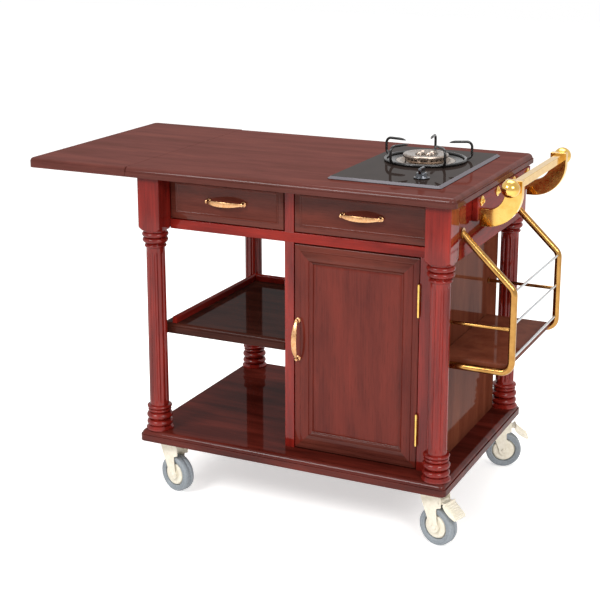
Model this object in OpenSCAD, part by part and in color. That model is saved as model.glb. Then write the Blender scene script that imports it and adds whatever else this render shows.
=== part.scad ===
// Flambe cart: a wooden serving trolley with a drop leaf, two drawers, a cupboard,
// a built-in gas burner, a side rack with a push bar, and four swivel casters.
// Positions inside placed() are measured from the leaf's seam (x), the top's front edge (y) and the floor (z).

/* [Overall] */
// Height of the worktop above the floor
cart_h = 900; // [860:5:940]
// Length of the fixed worktop
top_w = 900; // [880:5:940]
// Depth of the worktop and the leaf, front to back
top_d = 655; // [640:5:690]
// Width of the drop leaf
leaf_w = 305; // [260:5:330]
// Thickness of the worktop and the leaf
top_t = 25; // [22:1:28]

/* [Frame] */
// Side of the square post blocks
post_w = 64; // [60:1:68]
// Height of the square post blocks
block_h = 143; // [138:1:150]
// Radius of the turned shafts at the foot
shaft_r = 26; // [25:0.5:27]
// Number of flutes around a shaft
flutes = 12; // [8:1:14]
// Thickness of the base board
base_t = 30; // [26:1:34]
// Height of the middle shelf above the floor
shelf_z = 470; // [430:5:520]
// Thickness of the middle shelf
shelf_t = 27; // [22:1:30]
// Thickness of the rails, aprons and the side panel
rail_t = 20; // [18:1:22]

/* [Drawers and door] */
// Distance from the seam to the centre stile
bay_w = 424; // [404:2:440]
// Width of the centre stile
stile_w = 26; // [24:1:30]
// Reveal around the drawers and the door
reveal = 3; // [2:0.5:4]
// Depth of the drawer boxes behind their fronts
drawer_d = 390; // [320:5:410]
// Width of the door's frame members
door_frame_w = 48; // [42:1:54]
// Length of the bow pulls
pull_len = 124; // [110:2:132]

/* [Burner] */
// Length of the glass plate, left to right
glass_w = 300; // [290:2:316]
// Distance from the worktop's front edge to the glass plate
glass_in = 87.5; // [80:2.5:95]
// Thickness of the glass plate
glass_t = 7; // [6:0.5:8]
// Radius of the pan support's ring
ring_r = 105; // [100:1:110]
// Height of the pan support above the glass
support_h = 53; // [46:1:58]
// Diameter of the knob
knob_d = 40; // [36:1:44]

/* [Rack and push bar] */
// Distance from the post face to the rack's upright tubes
rack_out = 134; // [110:2:140]
// Radius of the rack's tubes
tube_r = 9; // [8:0.5:10]
// Height of the rack's lower tubes
rack_z = 461; // [440:5:500]
// Distance from the worktop's end to the push bar
bar_out = 83; // [80:1:90]
// Side of the square push bar
bar_s = 20; // [18:1:22]
// Radius of the ball ends
ball_r = 23; // [21:0.5:24]

/* [Casters] */
// Height of a caster, floor to base board
caster_h = 148; // [146:1:156]
// Radius of a wheel
wheel_r = 50; // [46:1:50]
// Width of a tyre
tyre_w = 32; // [28:1:34]
// Trail of the wheel behind its swivel
trail = 30; // [26:1:32]

/* [Hidden] */
$fn = 48;

lacquer = "#8f3a2c";
lacquer_top = "#73413a";
gold = "#d9a441";
steel = "#c9ccce";
wire_black = "#1d1c1c";
zinc = "#d8d2bf";
rubber_grey = "#8d8a84";

// Frame: heights
z_under = cart_h - top_t;
z_block = z_under - block_h;
z_base = caster_h + base_t;

// Frame: insets of the posts from the worktop's edges
post_in_left = 26;
post_in_right = 16;
post_in_y = 16;
recess = 8;
corner_r = 17;
x_post_l = post_in_left + post_w;
x_post_r = top_w - post_in_right - post_w;
x_face_r = top_w - post_in_right;
post_x = [post_in_left + post_w / 2, x_face_r - post_w / 2];
post_y = [post_in_y + post_w / 2, top_d - post_in_y - post_w / 2];
y_block_f = post_in_y + post_w;
y_block_r = top_d - y_block_f;
y_car_f = y_block_f - recess;
y_car_r = top_d - y_car_f;
y_in_f = y_car_f + rail_t;
y_in_r = y_car_r - rail_t;
shaft_taper = 1.5;
foot_disc_r = 37;

// Whole cart, centred on the floor
overall_w = leaf_w + x_face_r + rack_out + tube_r;
x_seam = leaf_w - overall_w / 2;
y_front = -top_d / 2;

// Carcase: widths
board_t = 18;
x_stile = bay_w + stile_w;
x_side = x_post_r + recess;
x_side_in = x_side - rail_t;
x_jamb = x_post_r - 30;
rail_h = 26;
deck_t = 12;
z_deck = z_block + rail_h;

// Drawers
z_drawer0 = z_deck + reveal;
z_drawer1 = z_under - reveal;
front_t = 18;
bead_w = 5;
y_box = y_car_f + front_t;
box_wall = 10;
box_bottom = 5;
runner_w = 16;
guide_w = 5;
box_gap = 0.4;
z_box = z_drawer0 + 1;
left_box = [x_post_l + 10, bay_w - 10];
right_box = [x_stile + 10, x_side_in - 6];
left_box_top = z_under - 22;
right_box_top = z_under - 42;

// Door
door_t = 22;
door_gap = 1.5;
x_door0 = x_stile + reveal;
x_door1 = x_jamb - door_gap;
z_door0 = z_base + 4;
z_door1 = z_block - 4;
hinge_r = 3.5;
hinge_pin_r = 1.6;
hinge_plate = 1.6;
hinge_len = 80;
y_hinge = y_car_f - hinge_r - 0.9;
x_hinge = x_jamb - door_gap / 2;
hinge_z = [z_door0 + 65, z_door1 - 145];
knuckles = 5;
knuckle_gap = 0.4;
pin_fit = 0.05;

// Leaf hinges
leaf_gap = 1;
leaf_pin_r = 1.8;
leaf_knuckle_r = 4;
leaf_hinge_len = 60;
leaf_plate = 2;
leaf_plate_w = 22;
z_leaf_pin = z_under - leaf_knuckle_r - 0.6;
leaf_hinge_y = [85, top_d / 2, top_d - 85];

// Middle shelf and its gallery
x_shelf = post_x[0] + 4;
y_shelf = [y_car_f - 2, y_car_r + 2];
lip_t = 12;
lip_h = 20;
x_lip = x_post_l - 2;
y_lip = y_block_r - 24;
dowel_r = 5;

// Burner
hob_x = x_side_in - 127;
hob_y = top_d / 2;
glass_d = top_d - 2 * glass_in;
glass_lap = [34, 20];
cut_w = glass_w - 2 * glass_lap[0];
cut_d = glass_d - 2 * glass_lap[1];
tray_h = 58;
tray_t = 1.5;
z_glass = cart_h + glass_t;
burner_x = hob_x;
burner_y = hob_y + 62;
knob_in = [77, 77];
knob_x = hob_x + glass_w / 2 - knob_in[0];
knob_y = hob_y - glass_d / 2 + knob_in[1];
bowl_r = 78;
bowl_hole_r = 68;
burner_r = 52;
burner_rise = 10;
cap_r = 60;
throat_r = 22;
wire_r = 4;
prongs = 5;
prong_turn = 26;
prong_out = 16;
prong_in = 40;
prong_bend = 14;
stem_r = 4;
rest_gap = 0.3;
pipe_r = 4;
pipe_z = z_glass - 40;
x_inlet = knob_x + 12;

// Rack
rack_y = [y_in_f + 8, y_in_f + 406];
x_rack = x_face_r + rack_out;
z_rack_top = z_under - 79;
z_rack_bend = z_block - 64;
rack_bend = 28;
mid_bar_z = 571;
mid_bar_r = 4.5;
flange_t = 4;
rod_r = 3;
rod_z = [z_rack_bend - 4, 583, 497];
cross_bar_r = 4;
rack_shelf_t = 12;

// Push bar
handle_shift = 63.5;
y_handle = top_d / 2 + handle_shift;
bracket_span = 402;
bracket_t = 20;
bracket_y = [y_handle - bracket_span / 2, y_handle + bracket_span / 2];
ball_y = [y_handle - 235, y_handle + 235];
handle_rail_z = [z_under - 64, z_under - 3];
handle_rail_y = [y_handle - 223, y_handle + 223];
rosette_r = 13;
rosette_y = [-194, -68, 68, 194];
z_rosette = z_under - 17;
x_bar = top_w + bar_out;
z_bar = cart_h + 3;
arc_in = 45;
arc_out = 88;
arc_x = x_bar - (arc_in + arc_out) / 2;
arc_z = z_bar - 17;

// Casters, in order: front left, front right, rear left, rear right
caster_in_x = 60;
caster_in_y = 60;
base_x = [16, top_w - 10];
base_y = [6, top_d - 6];
caster_at = [
    [base_x[0] + caster_in_x, base_y[0] + caster_in_y],
    [base_x[1] - caster_in_x, base_y[0] + caster_in_y],
    [base_x[0] + caster_in_x, base_y[1] - caster_in_y],
    [base_x[1] - caster_in_x, base_y[1] - caster_in_y]
];
caster_turn = [-17, -17, -17, 24];
plate_s = 76;
plate_t = 3;
cup_r = 24;
cup_h = 8;
z_crown = caster_h - plate_t - cup_h - 0.5;
crown_t = 4;
crown_x = 50;
kingpin_r = 5;
leg_t = 3;
leg_in = tyre_w / 2 + 2;
axle_r = 4;
hub_r = 30;
pedal_x = 44;
pedal_z = z_crown - 18;
pedal_pin_r = 3;

// Moves a piece from the seam's corner to its place on the centred cart
module placed() {
    translate([x_seam, y_front, 0]) children();
}

// Block between two opposite corners
module block(x, y, z) {
    translate([x[0], y[0], z[0]]) cube([x[1] - x[0], y[1] - y[0], z[1] - z[0]]);
}

// Round rod along X
module rod_x(x, y, z, r) {
    translate([x[0], y, z]) rotate([0, 90, 0]) cylinder(h = x[1] - x[0], r = r);
}

// Round rod along Y
module rod_y(x, y, z, r) {
    translate([x, y[0], z]) rotate([-90, 0, 0]) cylinder(h = y[1] - y[0], r = r);
}

// Section of a moulded edge: a square foot, a small step, then a quarter round
module nosed_section(reach, t, nose, step) {
    square([reach, t - nose]);
    square([reach - step - nose, t]);
    translate([reach - step - nose, t - nose]) intersection() {
        circle(r = nose);
        square(nose);
    }
}

// Board with rounded corners whose edge has the section given as its child
module edged_board(x, y, z, t, r) {
    w = x[1] - x[0];
    d = y[1] - y[0];
    translate([x[0], y[0], z]) {
        translate([r, r, 0]) cube([w - 2 * r, d - 2 * r, t]);
        for (c = [[w - r, d - r, 0], [r, d - r, 90], [r, r, 180], [w - r, r, 270]])
            translate([c[0], c[1], 0]) rotate([0, 0, c[2]]) rotate_extrude(angle = 90) children();
        for (s = [[w - r, r, 0, d], [w - r, d - r, 90, w], [r, d - r, 180, d], [r, r, 270, w]])
            translate([s[0], s[1], 0]) rotate([0, 0, s[2]]) rotate([90, 0, 0])
                translate([0, 0, 2 * r - s[3]]) linear_extrude(s[3] - 2 * r) children();
    }
}

// Worktop and drop leaf

module worktop() {
    color(lacquer_top) placed() difference() {
        edged_board([-60, top_w], [0, top_d], z_under, top_t, corner_r)
            nosed_section(corner_r, top_t, 13, 2.5);
        block([-70, 0], [-1, top_d + 1], [z_under - 1, cart_h + 1]);
        hob_cutout();
    }
}

module hob_cutout() {
    block([hob_x - cut_w / 2, hob_x + cut_w / 2], [hob_y - cut_d / 2, hob_y + cut_d / 2], [z_under - 1, cart_h + 1]);
}

module drop_leaf() {
    color(lacquer_top) placed() difference() {
        edged_board([-leaf_w, 60], [0, top_d], z_under, top_t, corner_r)
            nosed_section(corner_r, top_t, 7, 1);
        block([-leaf_gap, 70], [-1, top_d + 1], [z_under - 1, cart_h + 1]);
    }
}

// Leaf hinges: plates under both boards, with three knuckles round one pin

module leaf_knuckle(y, r) {
    rod_y(0, y, z_leaf_pin, r);
}

module leaf_hinge_fixed() {
    third = leaf_hinge_len / 3;
    color(gold) placed() for (y = leaf_hinge_y) {
        y0 = y - leaf_hinge_len / 2;
        block([6, leaf_plate_w], [y0, y0 + leaf_hinge_len], [z_under - leaf_plate, z_under]);
        for (k = [0, 2]) {
            block([0, 6], [y0 + k * third, y0 + (k + 1) * third], [z_under - leaf_plate, z_under]);
            leaf_knuckle([y0 + k * third, y0 + (k + 1) * third], leaf_knuckle_r);
        }
        leaf_knuckle([y0, y0 + leaf_hinge_len], leaf_pin_r);
    }
}

module leaf_hinge_moving() {
    third = leaf_hinge_len / 3;
    color(gold) placed() for (y = leaf_hinge_y) {
        y0 = y - leaf_hinge_len / 2;
        mid = [y0 + third + knuckle_gap, y0 + 2 * third - knuckle_gap];
        difference() {
            union() {
                block([-leaf_plate_w, -6], [y0, y0 + leaf_hinge_len], [z_under - leaf_plate, z_under]);
                block([-6, 0], mid, [z_under - leaf_plate, z_under]);
                leaf_knuckle(mid, leaf_knuckle_r);
            }
            leaf_knuckle([y0, y0 + leaf_hinge_len], leaf_pin_r + pin_fit);
        }
    }
}

// Posts: square block, turned beads and a fluted shaft

// Turned bead as a half round of the given outer radius and half height
module bead(z, r, half) {
    translate([r - half, z]) circle(r = half);
    translate([0, z - half]) square([r - half, 2 * half]);
}

module shaft() {
    translate([0, 0, z_base]) cylinder(h = z_block - z_base, r1 = shaft_r, r2 = shaft_r - shaft_taper);
}

module turnings() {
    rotate_extrude() {
        translate([0, z_base]) square([foot_disc_r, 5]);
        polygon([[0, z_base + 5], [36, z_base + 5], [31, z_base + 11], [0, z_base + 11]]);
        translate([0, z_base]) square([29.5, 52]);
        bead(z_base + 19, 35, 8);
        bead(z_base + 39, 35, 9);
        bead(z_base + 54, 31.5, 4);
        bead(z_base + 64, 33.5, 4);
        bead(z_block - 43, 29, 4);
        translate([0, z_block - 35]) square([28.5, 35]);
        bead(z_block - 27, 34, 7);
        bead(z_block - 12, 35, 7);
        translate([0, z_block - 4]) square([31, 4]);
    }
}

module flute(z0, z1) {
    flute_r = 4.2;
    flute_out = 1.6;
    run = 9;
    translate([shaft_r + flute_out, 0, z0 + run]) {
        cylinder(h = z1 - z0 - 2 * run, r = flute_r);
        translate([0, 0, z1 - z0 - 2 * run]) cylinder(h = run, r1 = flute_r, r2 = 0.5);
        translate([0, 0, -run]) cylinder(h = run, r1 = 0.5, r2 = flute_r);
    }
}

module post(at) {
    color(lacquer) placed() translate([at[0], at[1], 0]) {
        difference() {
            shaft();
            for (i = [0 : flutes - 1]) rotate([0, 0, (i + 0.5) * 360 / flutes])
                flute(z_base + 74, z_block - 54);
            dowels_of(at);
        }
        turnings();
        intersection() {
            translate([-post_w / 2, -post_w / 2, z_block]) cube([post_w, post_w, block_h]);
            union() {
                translate([0, 0, z_block]) cylinder(h = 10, r1 = 37, r2 = 47);
                translate([0, 0, z_block + 10]) cylinder(h = block_h, r = 47);
            }
        }
    }
}

// Bores in the left posts for the shelf's dowels, in the post's own place
module dowels_of(at) {
    if (at[0] == post_x[0]) translate([-at[0], -at[1], 0]) shelf_dowels();
}

module shelf_dowels() {
    rod_y(post_x[0] + 10, [y_shelf[0] - 12, y_shelf[0] + 24], shelf_z - shelf_t / 2, dowel_r);
    rod_y(post_x[0] + 10, [y_shelf[1] - 24, y_shelf[1] + 12], shelf_z - shelf_t / 2, dowel_r);
}

module post_front_left() { post([post_x[0], post_y[0]]); }
module post_front_right() { post([post_x[1], post_y[0]]); }
module post_rear_left() { post([post_x[0], post_y[1]]); }
module post_rear_right() { post([post_x[1], post_y[1]]); }

// Boards of the carcase

module base_board() {
    color(lacquer) placed()
        edged_board(base_x, base_y, caster_h, base_t, corner_r) nosed_section(corner_r, base_t, 13, 3);
}

module middle_shelf() {
    nose = 9;
    step = 2.5;
    depth = 20;
    color(lacquer) placed() difference() {
        union() {
            block([x_shelf, bay_w], [y_shelf[0] + depth, y_shelf[1]], [shelf_z - shelf_t, shelf_z]);
            translate([bay_w, y_shelf[0] + depth, shelf_z - shelf_t]) rotate([0, 0, -90]) rotate([90, 0, 0])
                linear_extrude(bay_w - x_shelf) nosed_section(depth, shelf_t, nose, step);
            shelf_dowels();
        }
        for (y = post_y) translate([post_x[0], y, 0]) difference() {
            shaft();
            translate([-post_x[0], -y, 0]) shelf_dowels();
        }
    }
}

module shelf_gallery() {
    r = lip_t / 2;
    z = shelf_z + lip_h - r;
    x = x_lip + r;
    y = y_lip - r;
    color(lacquer) placed() {
        block([x_lip, x_lip + lip_t], [y_car_f + 4, y_lip], [shelf_z, z]);
        block([x_lip, bay_w], [y_lip - lip_t, y_lip], [shelf_z, z]);
        rod_y(x, [y_car_f + 4, y], z, r);
        rod_x([x, bay_w], y, z, r);
        translate([x, y, z]) sphere(r = r);
    }
}

module partition() {
    color(lacquer) placed() {
        block([bay_w, bay_w + board_t], [y_in_f, y_car_r], [z_base, z_block]);
        block([bay_w, bay_w + board_t], [y_in_f, y_in_r], [z_block, z_under]);
    }
}

module side_panel() {
    cope_r = foot_disc_r + 0.5;
    color(lacquer) placed() {
        difference() {
            block([x_side_in, x_side], [y_in_f, y_car_r], [z_base, z_block]);
            translate([post_x[1], post_y[1], z_base - 1]) cylinder(h = z_block - z_base + 2, r = cope_r);
        }
        block([x_side_in, x_side], [y_in_f, y_in_r], [z_block, z_under]);
    }
}

module cabinet_back() {
    hose_r = 25;
    color(lacquer) placed() difference() {
        block([bay_w + board_t, x_side_in], [y_car_r - 12, y_car_r], [z_base, z_block]);
        rod_y(x_side_in - 60, [y_car_r - 20, y_car_r + 5], z_block - 90, hose_r);
    }
}

// Low strips that carry a drawer box and keep it straight
module runners(box) {
    y = [y_in_f, y_box + drawer_d];
    for (side = [0, 1]) {
        under = side == 0 ? [box[0], box[0] + runner_w] : [box[1] - runner_w, box[1]];
        guide = side == 0 ? [box[0] - guide_w - box_gap, box[0] - box_gap] : [box[1] + box_gap, box[1] + guide_w + box_gap];
        block(under, y, [z_deck, z_box - box_gap]);
        block(guide, y, [z_deck, z_deck + 16]);
    }
}

module drawer_deck() {
    z = [z_deck - deck_t, z_deck];
    color("#c9a77a") placed() {
        block([post_in_left + rail_t, bay_w], [y_in_f, y_in_r], z);
        block([bay_w + board_t, x_side_in], [y_in_f, y_in_r], z);
        runners(left_box);
        runners(right_box);
    }
}

module face_frame() {
    y = [y_car_f, y_in_f];
    color(lacquer) placed() difference() {
        union() {
            block([x_post_l, x_post_r], y, [z_block, z_deck]);
            block([bay_w, x_stile], y, [z_base, z_under]);
            block([x_jamb, x_post_r + 2], y, [z_base, z_block]);
        }
        for (z = hinge_z) block([x_jamb - 1, x_jamb + hinge_plate], [y[0] - 1, y[1]], [z, z + hinge_len]);
    }
}

module rear_apron() {
    color(lacquer) placed() difference() {
        block([x_post_l, x_post_r], [y_in_r, y_car_r], [z_block, z_under]);
        rod_y(x_inlet, [y_in_r - 1, y_car_r + 1], pipe_z, pipe_r);
    }
}

module left_apron() {
    color(lacquer) placed()
        block([post_in_left, post_in_left + rail_t], [y_block_f, y_block_r], [z_block, z_under]);
}

module right_apron() {
    color(lacquer) placed()
        block([x_face_r - rail_t, x_face_r], [y_block_f, y_block_r], [z_block, z_under]);
}

// Drawers and door

// Rectangle from the face y[0] to y[1], with its sides sloped in by the given width on the way
module sloped_field(x, y, z, slope) {
    intersection() {
        translate([0, 0, z[0]]) linear_extrude(z[1] - z[0])
            polygon([[x[0], y[0]], [x[1], y[0]], [x[1] - slope, y[1]], [x[0] + slope, y[1]]]);
        translate([x[0], 0, 0]) rotate([90, 0, 90]) linear_extrude(x[1] - x[0])
            polygon([[y[0], z[0]], [y[0], z[1]], [y[1], z[1] - slope], [y[1], z[0] + slope]]);
    }
}

// Raised bead in a rectangle on the front face
module bead_frame(x, z) {
    proud = 2.2;
    y = y_car_f;
    difference() {
        block(x, [y - proud, y + 1], z);
        block([x[0] + bead_w, x[1] - bead_w], [y - proud - 1, y + 2], [z[0] + bead_w, z[1] - bead_w]);
    }
}

module drawer_front(x) {
    inset = 14;
    sunk = 1.6;
    slope = 4;
    field = inset + bead_w;
    color(lacquer) placed() difference() {
        union() {
            block(x, [y_car_f, y_box], [z_drawer0, z_drawer1]);
            bead_frame([x[0] + inset, x[1] - inset], [z_drawer0 + inset, z_drawer1 - inset]);
        }
        sloped_field(
            [x[0] + field, x[1] - field], [y_car_f, y_car_f + sunk],
            [z_drawer0 + field, z_drawer1 - field], slope
        );
    }
}

module drawer_box(box, top) {
    y = [y_box, y_box + drawer_d];
    color("#c9a77a") placed() {
        block(box, y, [z_box, z_box + box_bottom]);
        block([box[0], box[0] + box_wall], y, [z_box + box_bottom, top]);
        block([box[1] - box_wall, box[1]], y, [z_box + box_bottom, top]);
        block([box[0] + box_wall, box[1] - box_wall], [y[1] - box_wall, y[1]], [z_box + box_bottom, top]);
    }
}

// Bow pull along X that stands out along -Y from the origin's face
module bow_pull() {
    foot_x = pull_len / 2 - 11;
    rise = 12;
    bow = 15;
    arc_r = (foot_x * foot_x + bow * bow) / (2 * bow);
    half = asin(foot_x / arc_r);
    for (s = [-1, 1]) translate([s * foot_x, 0, 0]) rotate([90, 0, 0]) {
        cylinder(h = 2.5, r = 7.5);
        cylinder(h = rise, r = 4.5);
        translate([0, 0, rise]) sphere(r = 6);
    }
    translate([0, arc_r - rise - bow, 0]) rotate([0, 0, -90 - half]) rotate_extrude(angle = 2 * half)
        translate([arc_r - 2, -6]) square([4, 12]);
}

module drawer_pull(x) {
    color(gold) placed() translate([(x[0] + x[1]) / 2, y_car_f, (z_drawer0 + z_drawer1) / 2]) bow_pull();
}

left_front = [x_post_l + reveal, bay_w - reveal];
right_front = [x_stile + reveal, x_post_r - reveal];

module drawer_left_front() { drawer_front(left_front); }
module drawer_left_box() { drawer_box(left_box, left_box_top); }
module drawer_left_pull() { drawer_pull(left_front); }
module drawer_right_front() { drawer_front(right_front); }
module drawer_right_box() { drawer_box(right_box, right_box_top); }
module drawer_right_pull() { drawer_pull(right_front); }

module door_frame() {
    inset = 17;
    proud = 2.2;
    w = door_frame_w;
    slope = 8;
    lip = w - slope;
    y = y_car_f - proud;
    color(lacquer) placed() difference() {
        union() {
            block([x_door0, x_door1], [y_car_f, y_car_f + door_t], [z_door0, z_door1]);
            block([x_door0 + inset, x_door1 - inset], [y, y_car_f + 1], [z_door0 + inset, z_door1 - inset]);
        }
        block([x_door0 + w, x_door1 - w], [y - 1, y_car_f + door_t + 1], [z_door0 + w, z_door1 - w]);
        sloped_field([x_door0 + lip, x_door1 - lip], [y, y + slope], [z_door0 + lip, z_door1 - lip], slope);
        door_panel_board();
        for (z = hinge_z) block([x_door1 - hinge_plate, x_door1 + 1], [y_car_f - 1, y_in_f], [z, z + hinge_len]);
    }
}

// Flat panel whose edge is held in the frame's groove
module door_panel_board() {
    tongue = 6;
    w = door_frame_w - tongue;
    block([x_door0 + w, x_door1 - w], [y_car_f + 9, y_car_f + 17], [z_door0 + w, z_door1 - w]);
}

module door_panel() {
    color(lacquer) placed() door_panel_board();
}

module door_pull() {
    pull_in = 9;
    pull_drop = 250;
    color(gold) placed()
        translate([x_door0 + pull_in, y_car_f, z_door1 - pull_drop]) rotate([0, 90, 0]) bow_pull();
}

// Knuckles first, first + 2, ... of a door hinge that starts at height z
module door_knuckles(z, first) {
    h = hinge_len / knuckles;
    for (k = [first : 2 : knuckles - 1]) {
        low = k == 0 ? 0 : knuckle_gap / 2;
        high = k == knuckles - 1 ? 0 : knuckle_gap / 2;
        translate([x_hinge, y_hinge, z + k * h + low]) cylinder(h = h - low - high, r = hinge_r);
    }
}

// Necks that join the knuckles to a plate at x
module door_necks(z, first, x) {
    h = hinge_len / knuckles;
    for (k = [first : 2 : knuckles - 1]) block(x, [y_hinge, y_car_f], [z + k * h + knuckle_gap, z + (k + 1) * h - knuckle_gap]);
}

module door_hinge_fixed() {
    x = [x_jamb, x_jamb + hinge_plate];
    color(gold) placed() for (z = hinge_z) {
        block(x, [y_car_f, y_in_f], [z, z + hinge_len]);
        door_necks(z, 0, x);
        door_knuckles(z, 0);
        translate([x_hinge, y_hinge, z]) cylinder(h = hinge_len, r = hinge_pin_r);
        for (end = [z - 2, z + hinge_len]) translate([x_hinge, y_hinge, end]) cylinder(h = 2, r = hinge_r - 0.5);
    }
}

module door_hinge_moving() {
    x = [x_door1 - hinge_plate, x_door1];
    color(gold) placed() for (z = hinge_z) difference() {
        union() {
            block(x, [y_car_f, y_in_f], [z, z + hinge_len]);
            door_necks(z, 1, x);
            door_knuckles(z, 1);
        }
        translate([x_hinge, y_hinge, z - 1]) cylinder(h = hinge_len + 2, r = hinge_pin_r + pin_fit);
    }
}

// Side rack and push bar

// Tube along a path of [x, z] points in the plane y, with a bend at every inner point
module bent_tube(path, bend, r) {
    last = len(path) - 1;
    rotate([90, 0, 0]) {
        for (i = [0 : last - 1]) {
            along = unit(path[i + 1] - path[i]);
            a = path[i] + (i == 0 ? 0 : setback(path, i, bend)) * along;
            b = path[i + 1] - (i == last - 1 ? 0 : setback(path, i + 1, bend)) * along;
            translate([a[0], a[1], 0]) rotate([0, 90, heading(along)]) cylinder(h = norm(b - a), r = r);
        }
        for (i = [1 : last - 1]) bend_at(path, i, bend, r);
    }
}

module bend_at(path, i, bend, r) {
    d = unit(path[i] - path[i - 1]);
    start = path[i] - setback(path, i, bend) * d;
    side = turn_side(path, i);
    centre = start + bend * side * [-d[1], d[0]];
    first = heading(start - centre);
    angle = turn(path, i);
    translate([centre[0], centre[1], 0]) rotate([0, 0, side > 0 ? first : first - angle])
        rotate_extrude(angle = angle) translate([bend, 0]) circle(r = r);
}

function unit(v) = v / norm(v);
function heading(v) = atan2(v[1], v[0]);
function cross_z(a, b) = a[0] * b[1] - a[1] * b[0];
function turn(path, i) = acos(unit(path[i] - path[i - 1]) * unit(path[i + 1] - path[i]));
function turn_side(path, i) = cross_z(path[i] - path[i - 1], path[i + 1] - path[i]) > 0 ? 1 : -1;
function setback(path, i, bend) = bend * tan(turn(path, i) / 2);

module rack_rod_set() {
    for (z = rod_z) rod_y(x_rack, [rack_y[0] + 3, rack_y[1] - 3], z, rod_r);
}

module rack_cross_bars() {
    cross_in = [40, 34];
    for (x = [x_side + cross_in[0], x_rack - cross_in[1]]) rod_y(x, rack_y, rack_z + 2, cross_bar_r);
}

module rack_tubes() {
    flange_r = 14;
    color(gold) placed() difference() {
        union() {
            for (y = rack_y) translate([0, y, 0]) {
                bent_tube(
                    [[x_face_r - 12, z_rack_top + 12], [x_rack, z_rack_bend], [x_rack, rack_z], [x_side, rack_z]],
                    rack_bend, tube_r
                );
                rod_x([x_face_r, x_face_r + flange_t], 0, z_rack_top, flange_r);
                rod_x([x_side, x_side + flange_t], 0, rack_z, flange_r);
                rod_x([x_side, x_rack], 0, mid_bar_z, mid_bar_r);
                rod_x([x_side, x_side + flange_t], 0, mid_bar_z, 8);
            }
            rack_cross_bars();
        }
        block([x_face_r - 40, x_face_r], [0, top_d], [z_block, z_under + 20]);
        rack_rod_set();
    }
}

module rack_rods() {
    color(steel) placed() rack_rod_set();
}

module rack_shelf() {
    y = [rack_y[0] + tube_r + 1, rack_y[1] - tube_r - 1];
    z = rack_z + 1.5 + cross_bar_r;
    rod_room = 12;
    color(lacquer) placed() difference() {
        block([x_side + flange_t, x_rack - rod_room], y, [z, z + rack_shelf_t]);
        rack_cross_bars();
        rack_rod_set();
    }
}

module handle_rail() {
    color(lacquer) placed() block([x_face_r, top_w], handle_rail_y, handle_rail_z);
}

// Round rosettes that cover the rail's screws
module rosettes() {
    rosette_t = 3;
    boss_t = 5.5;
    for (y = rosette_y) {
        rod_x([top_w, top_w + rosette_t], y_handle + y, z_rosette, rosette_r);
        rod_x([top_w + rosette_t, top_w + rosette_t + boss_t], y_handle + y, z_rosette, rosette_r / 2);
    }
}

// Square bar, also the socket cut in what holds it
module push_bar() {
    half = bar_s / 2;
    block([x_bar - half, x_bar + half], [ball_y[0] - 8, ball_y[1] + 8], [z_bar - half, z_bar + half]);
}

module handle_brackets() {
    cap = 5;
    color(gold) placed() rosettes();
    color(gold) placed() difference() {
        for (y = bracket_y) {
            translate([arc_x, y + bracket_t / 2, arc_z]) rotate([90, 0, 0]) linear_extrude(bracket_t) {
                intersection() {
                    difference() {
                        circle(r = arc_out);
                        circle(r = arc_in);
                    }
                    translate([0, -arc_out]) square(arc_out);
                }
                translate([arc_in, 0]) square([arc_out - arc_in, z_bar + bar_s / 2 + cap - arc_z]);
                translate([top_w - arc_x, -arc_out]) square([arc_x - top_w, arc_out - arc_in]);
            }
        }
        push_bar();
    }
}

module handle_bar() {
    color(gold) placed() push_bar();
}

module handle_balls() {
    color(gold) placed() difference() {
        for (y = ball_y) translate([x_bar, y, z_bar]) sphere(r = ball_r);
        push_bar();
    }
}

// Burner in the worktop

module hob_glass() {
    r = 12;
    bevel = 8;
    foot = 1.5;
    color("#202022") placed() difference() {
        edged_board(
            [hob_x - glass_w / 2, hob_x + glass_w / 2], [hob_y - glass_d / 2, hob_y + glass_d / 2],
            cart_h, glass_t, r
        ) polygon([[0, 0], [r, 0], [r, foot], [r - bevel, glass_t], [0, glass_t]]);
        translate([burner_x, burner_y, cart_h - 1]) cylinder(h = glass_t + 2, r = bowl_hole_r);
        translate([knob_x, knob_y, cart_h - 1]) cylinder(h = glass_t + 2, r = stem_r + 1);
    }
}

module hob_tray() {
    x = [hob_x - cut_w / 2 + 1, hob_x + cut_w / 2 - 1];
    y = [hob_y - cut_d / 2 + 1, hob_y + cut_d / 2 - 1];
    z = [cart_h - tray_h, cart_h];
    t = tray_t;
    color(steel) placed() difference() {
        block(x, y, z);
        block([x[0] + t, x[1] - t], [y[0] + t, y[1] - t], [z[0] + t, z[1] + 1]);
        rod_y(x_inlet, [y[1] - 5, y[1] + 1], pipe_z, pipe_r);
    }
}

module drip_bowl() {
    wall = 1.2;
    drop = 9;
    color(steel) placed() translate([burner_x, burner_y, z_glass]) rotate_extrude() polygon([
        [throat_r, -drop], [bowl_hole_r - 10, -drop], [bowl_hole_r - 1, 0], [bowl_r, 0],
        [bowl_r, wall], [bowl_hole_r - 1.5, wall], [bowl_hole_r - 10.5, wall - drop], [throat_r, wall - drop]
    ]);
}

module burner_body() {
    slots = 24;
    sink = 3;
    head_h = sink + burner_rise;
    z_tray = cart_h - tray_h + tray_t;
    z_head = z_glass - sink;
    color("#b8b2a6") placed() translate([burner_x, burner_y, 0]) {
        translate([0, 0, z_tray]) cylinder(h = z_head - z_tray, r = throat_r);
        difference() {
            translate([0, 0, z_head]) cylinder(h = head_h, r = burner_r);
            for (i = [0 : slots - 1]) rotate([0, 0, i * 360 / slots])
                translate([burner_r - 8, -1, z_head + head_h - 5]) cube([10, 2, 6]);
            translate([0, 0, z_head + head_h - 6]) cylinder(h = 7, r = throat_r);
        }
        translate([-burner_r - 4, 0, z_glass - 9 + 1.2]) cylinder(h = 16, r = 2);
    }
}

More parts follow.
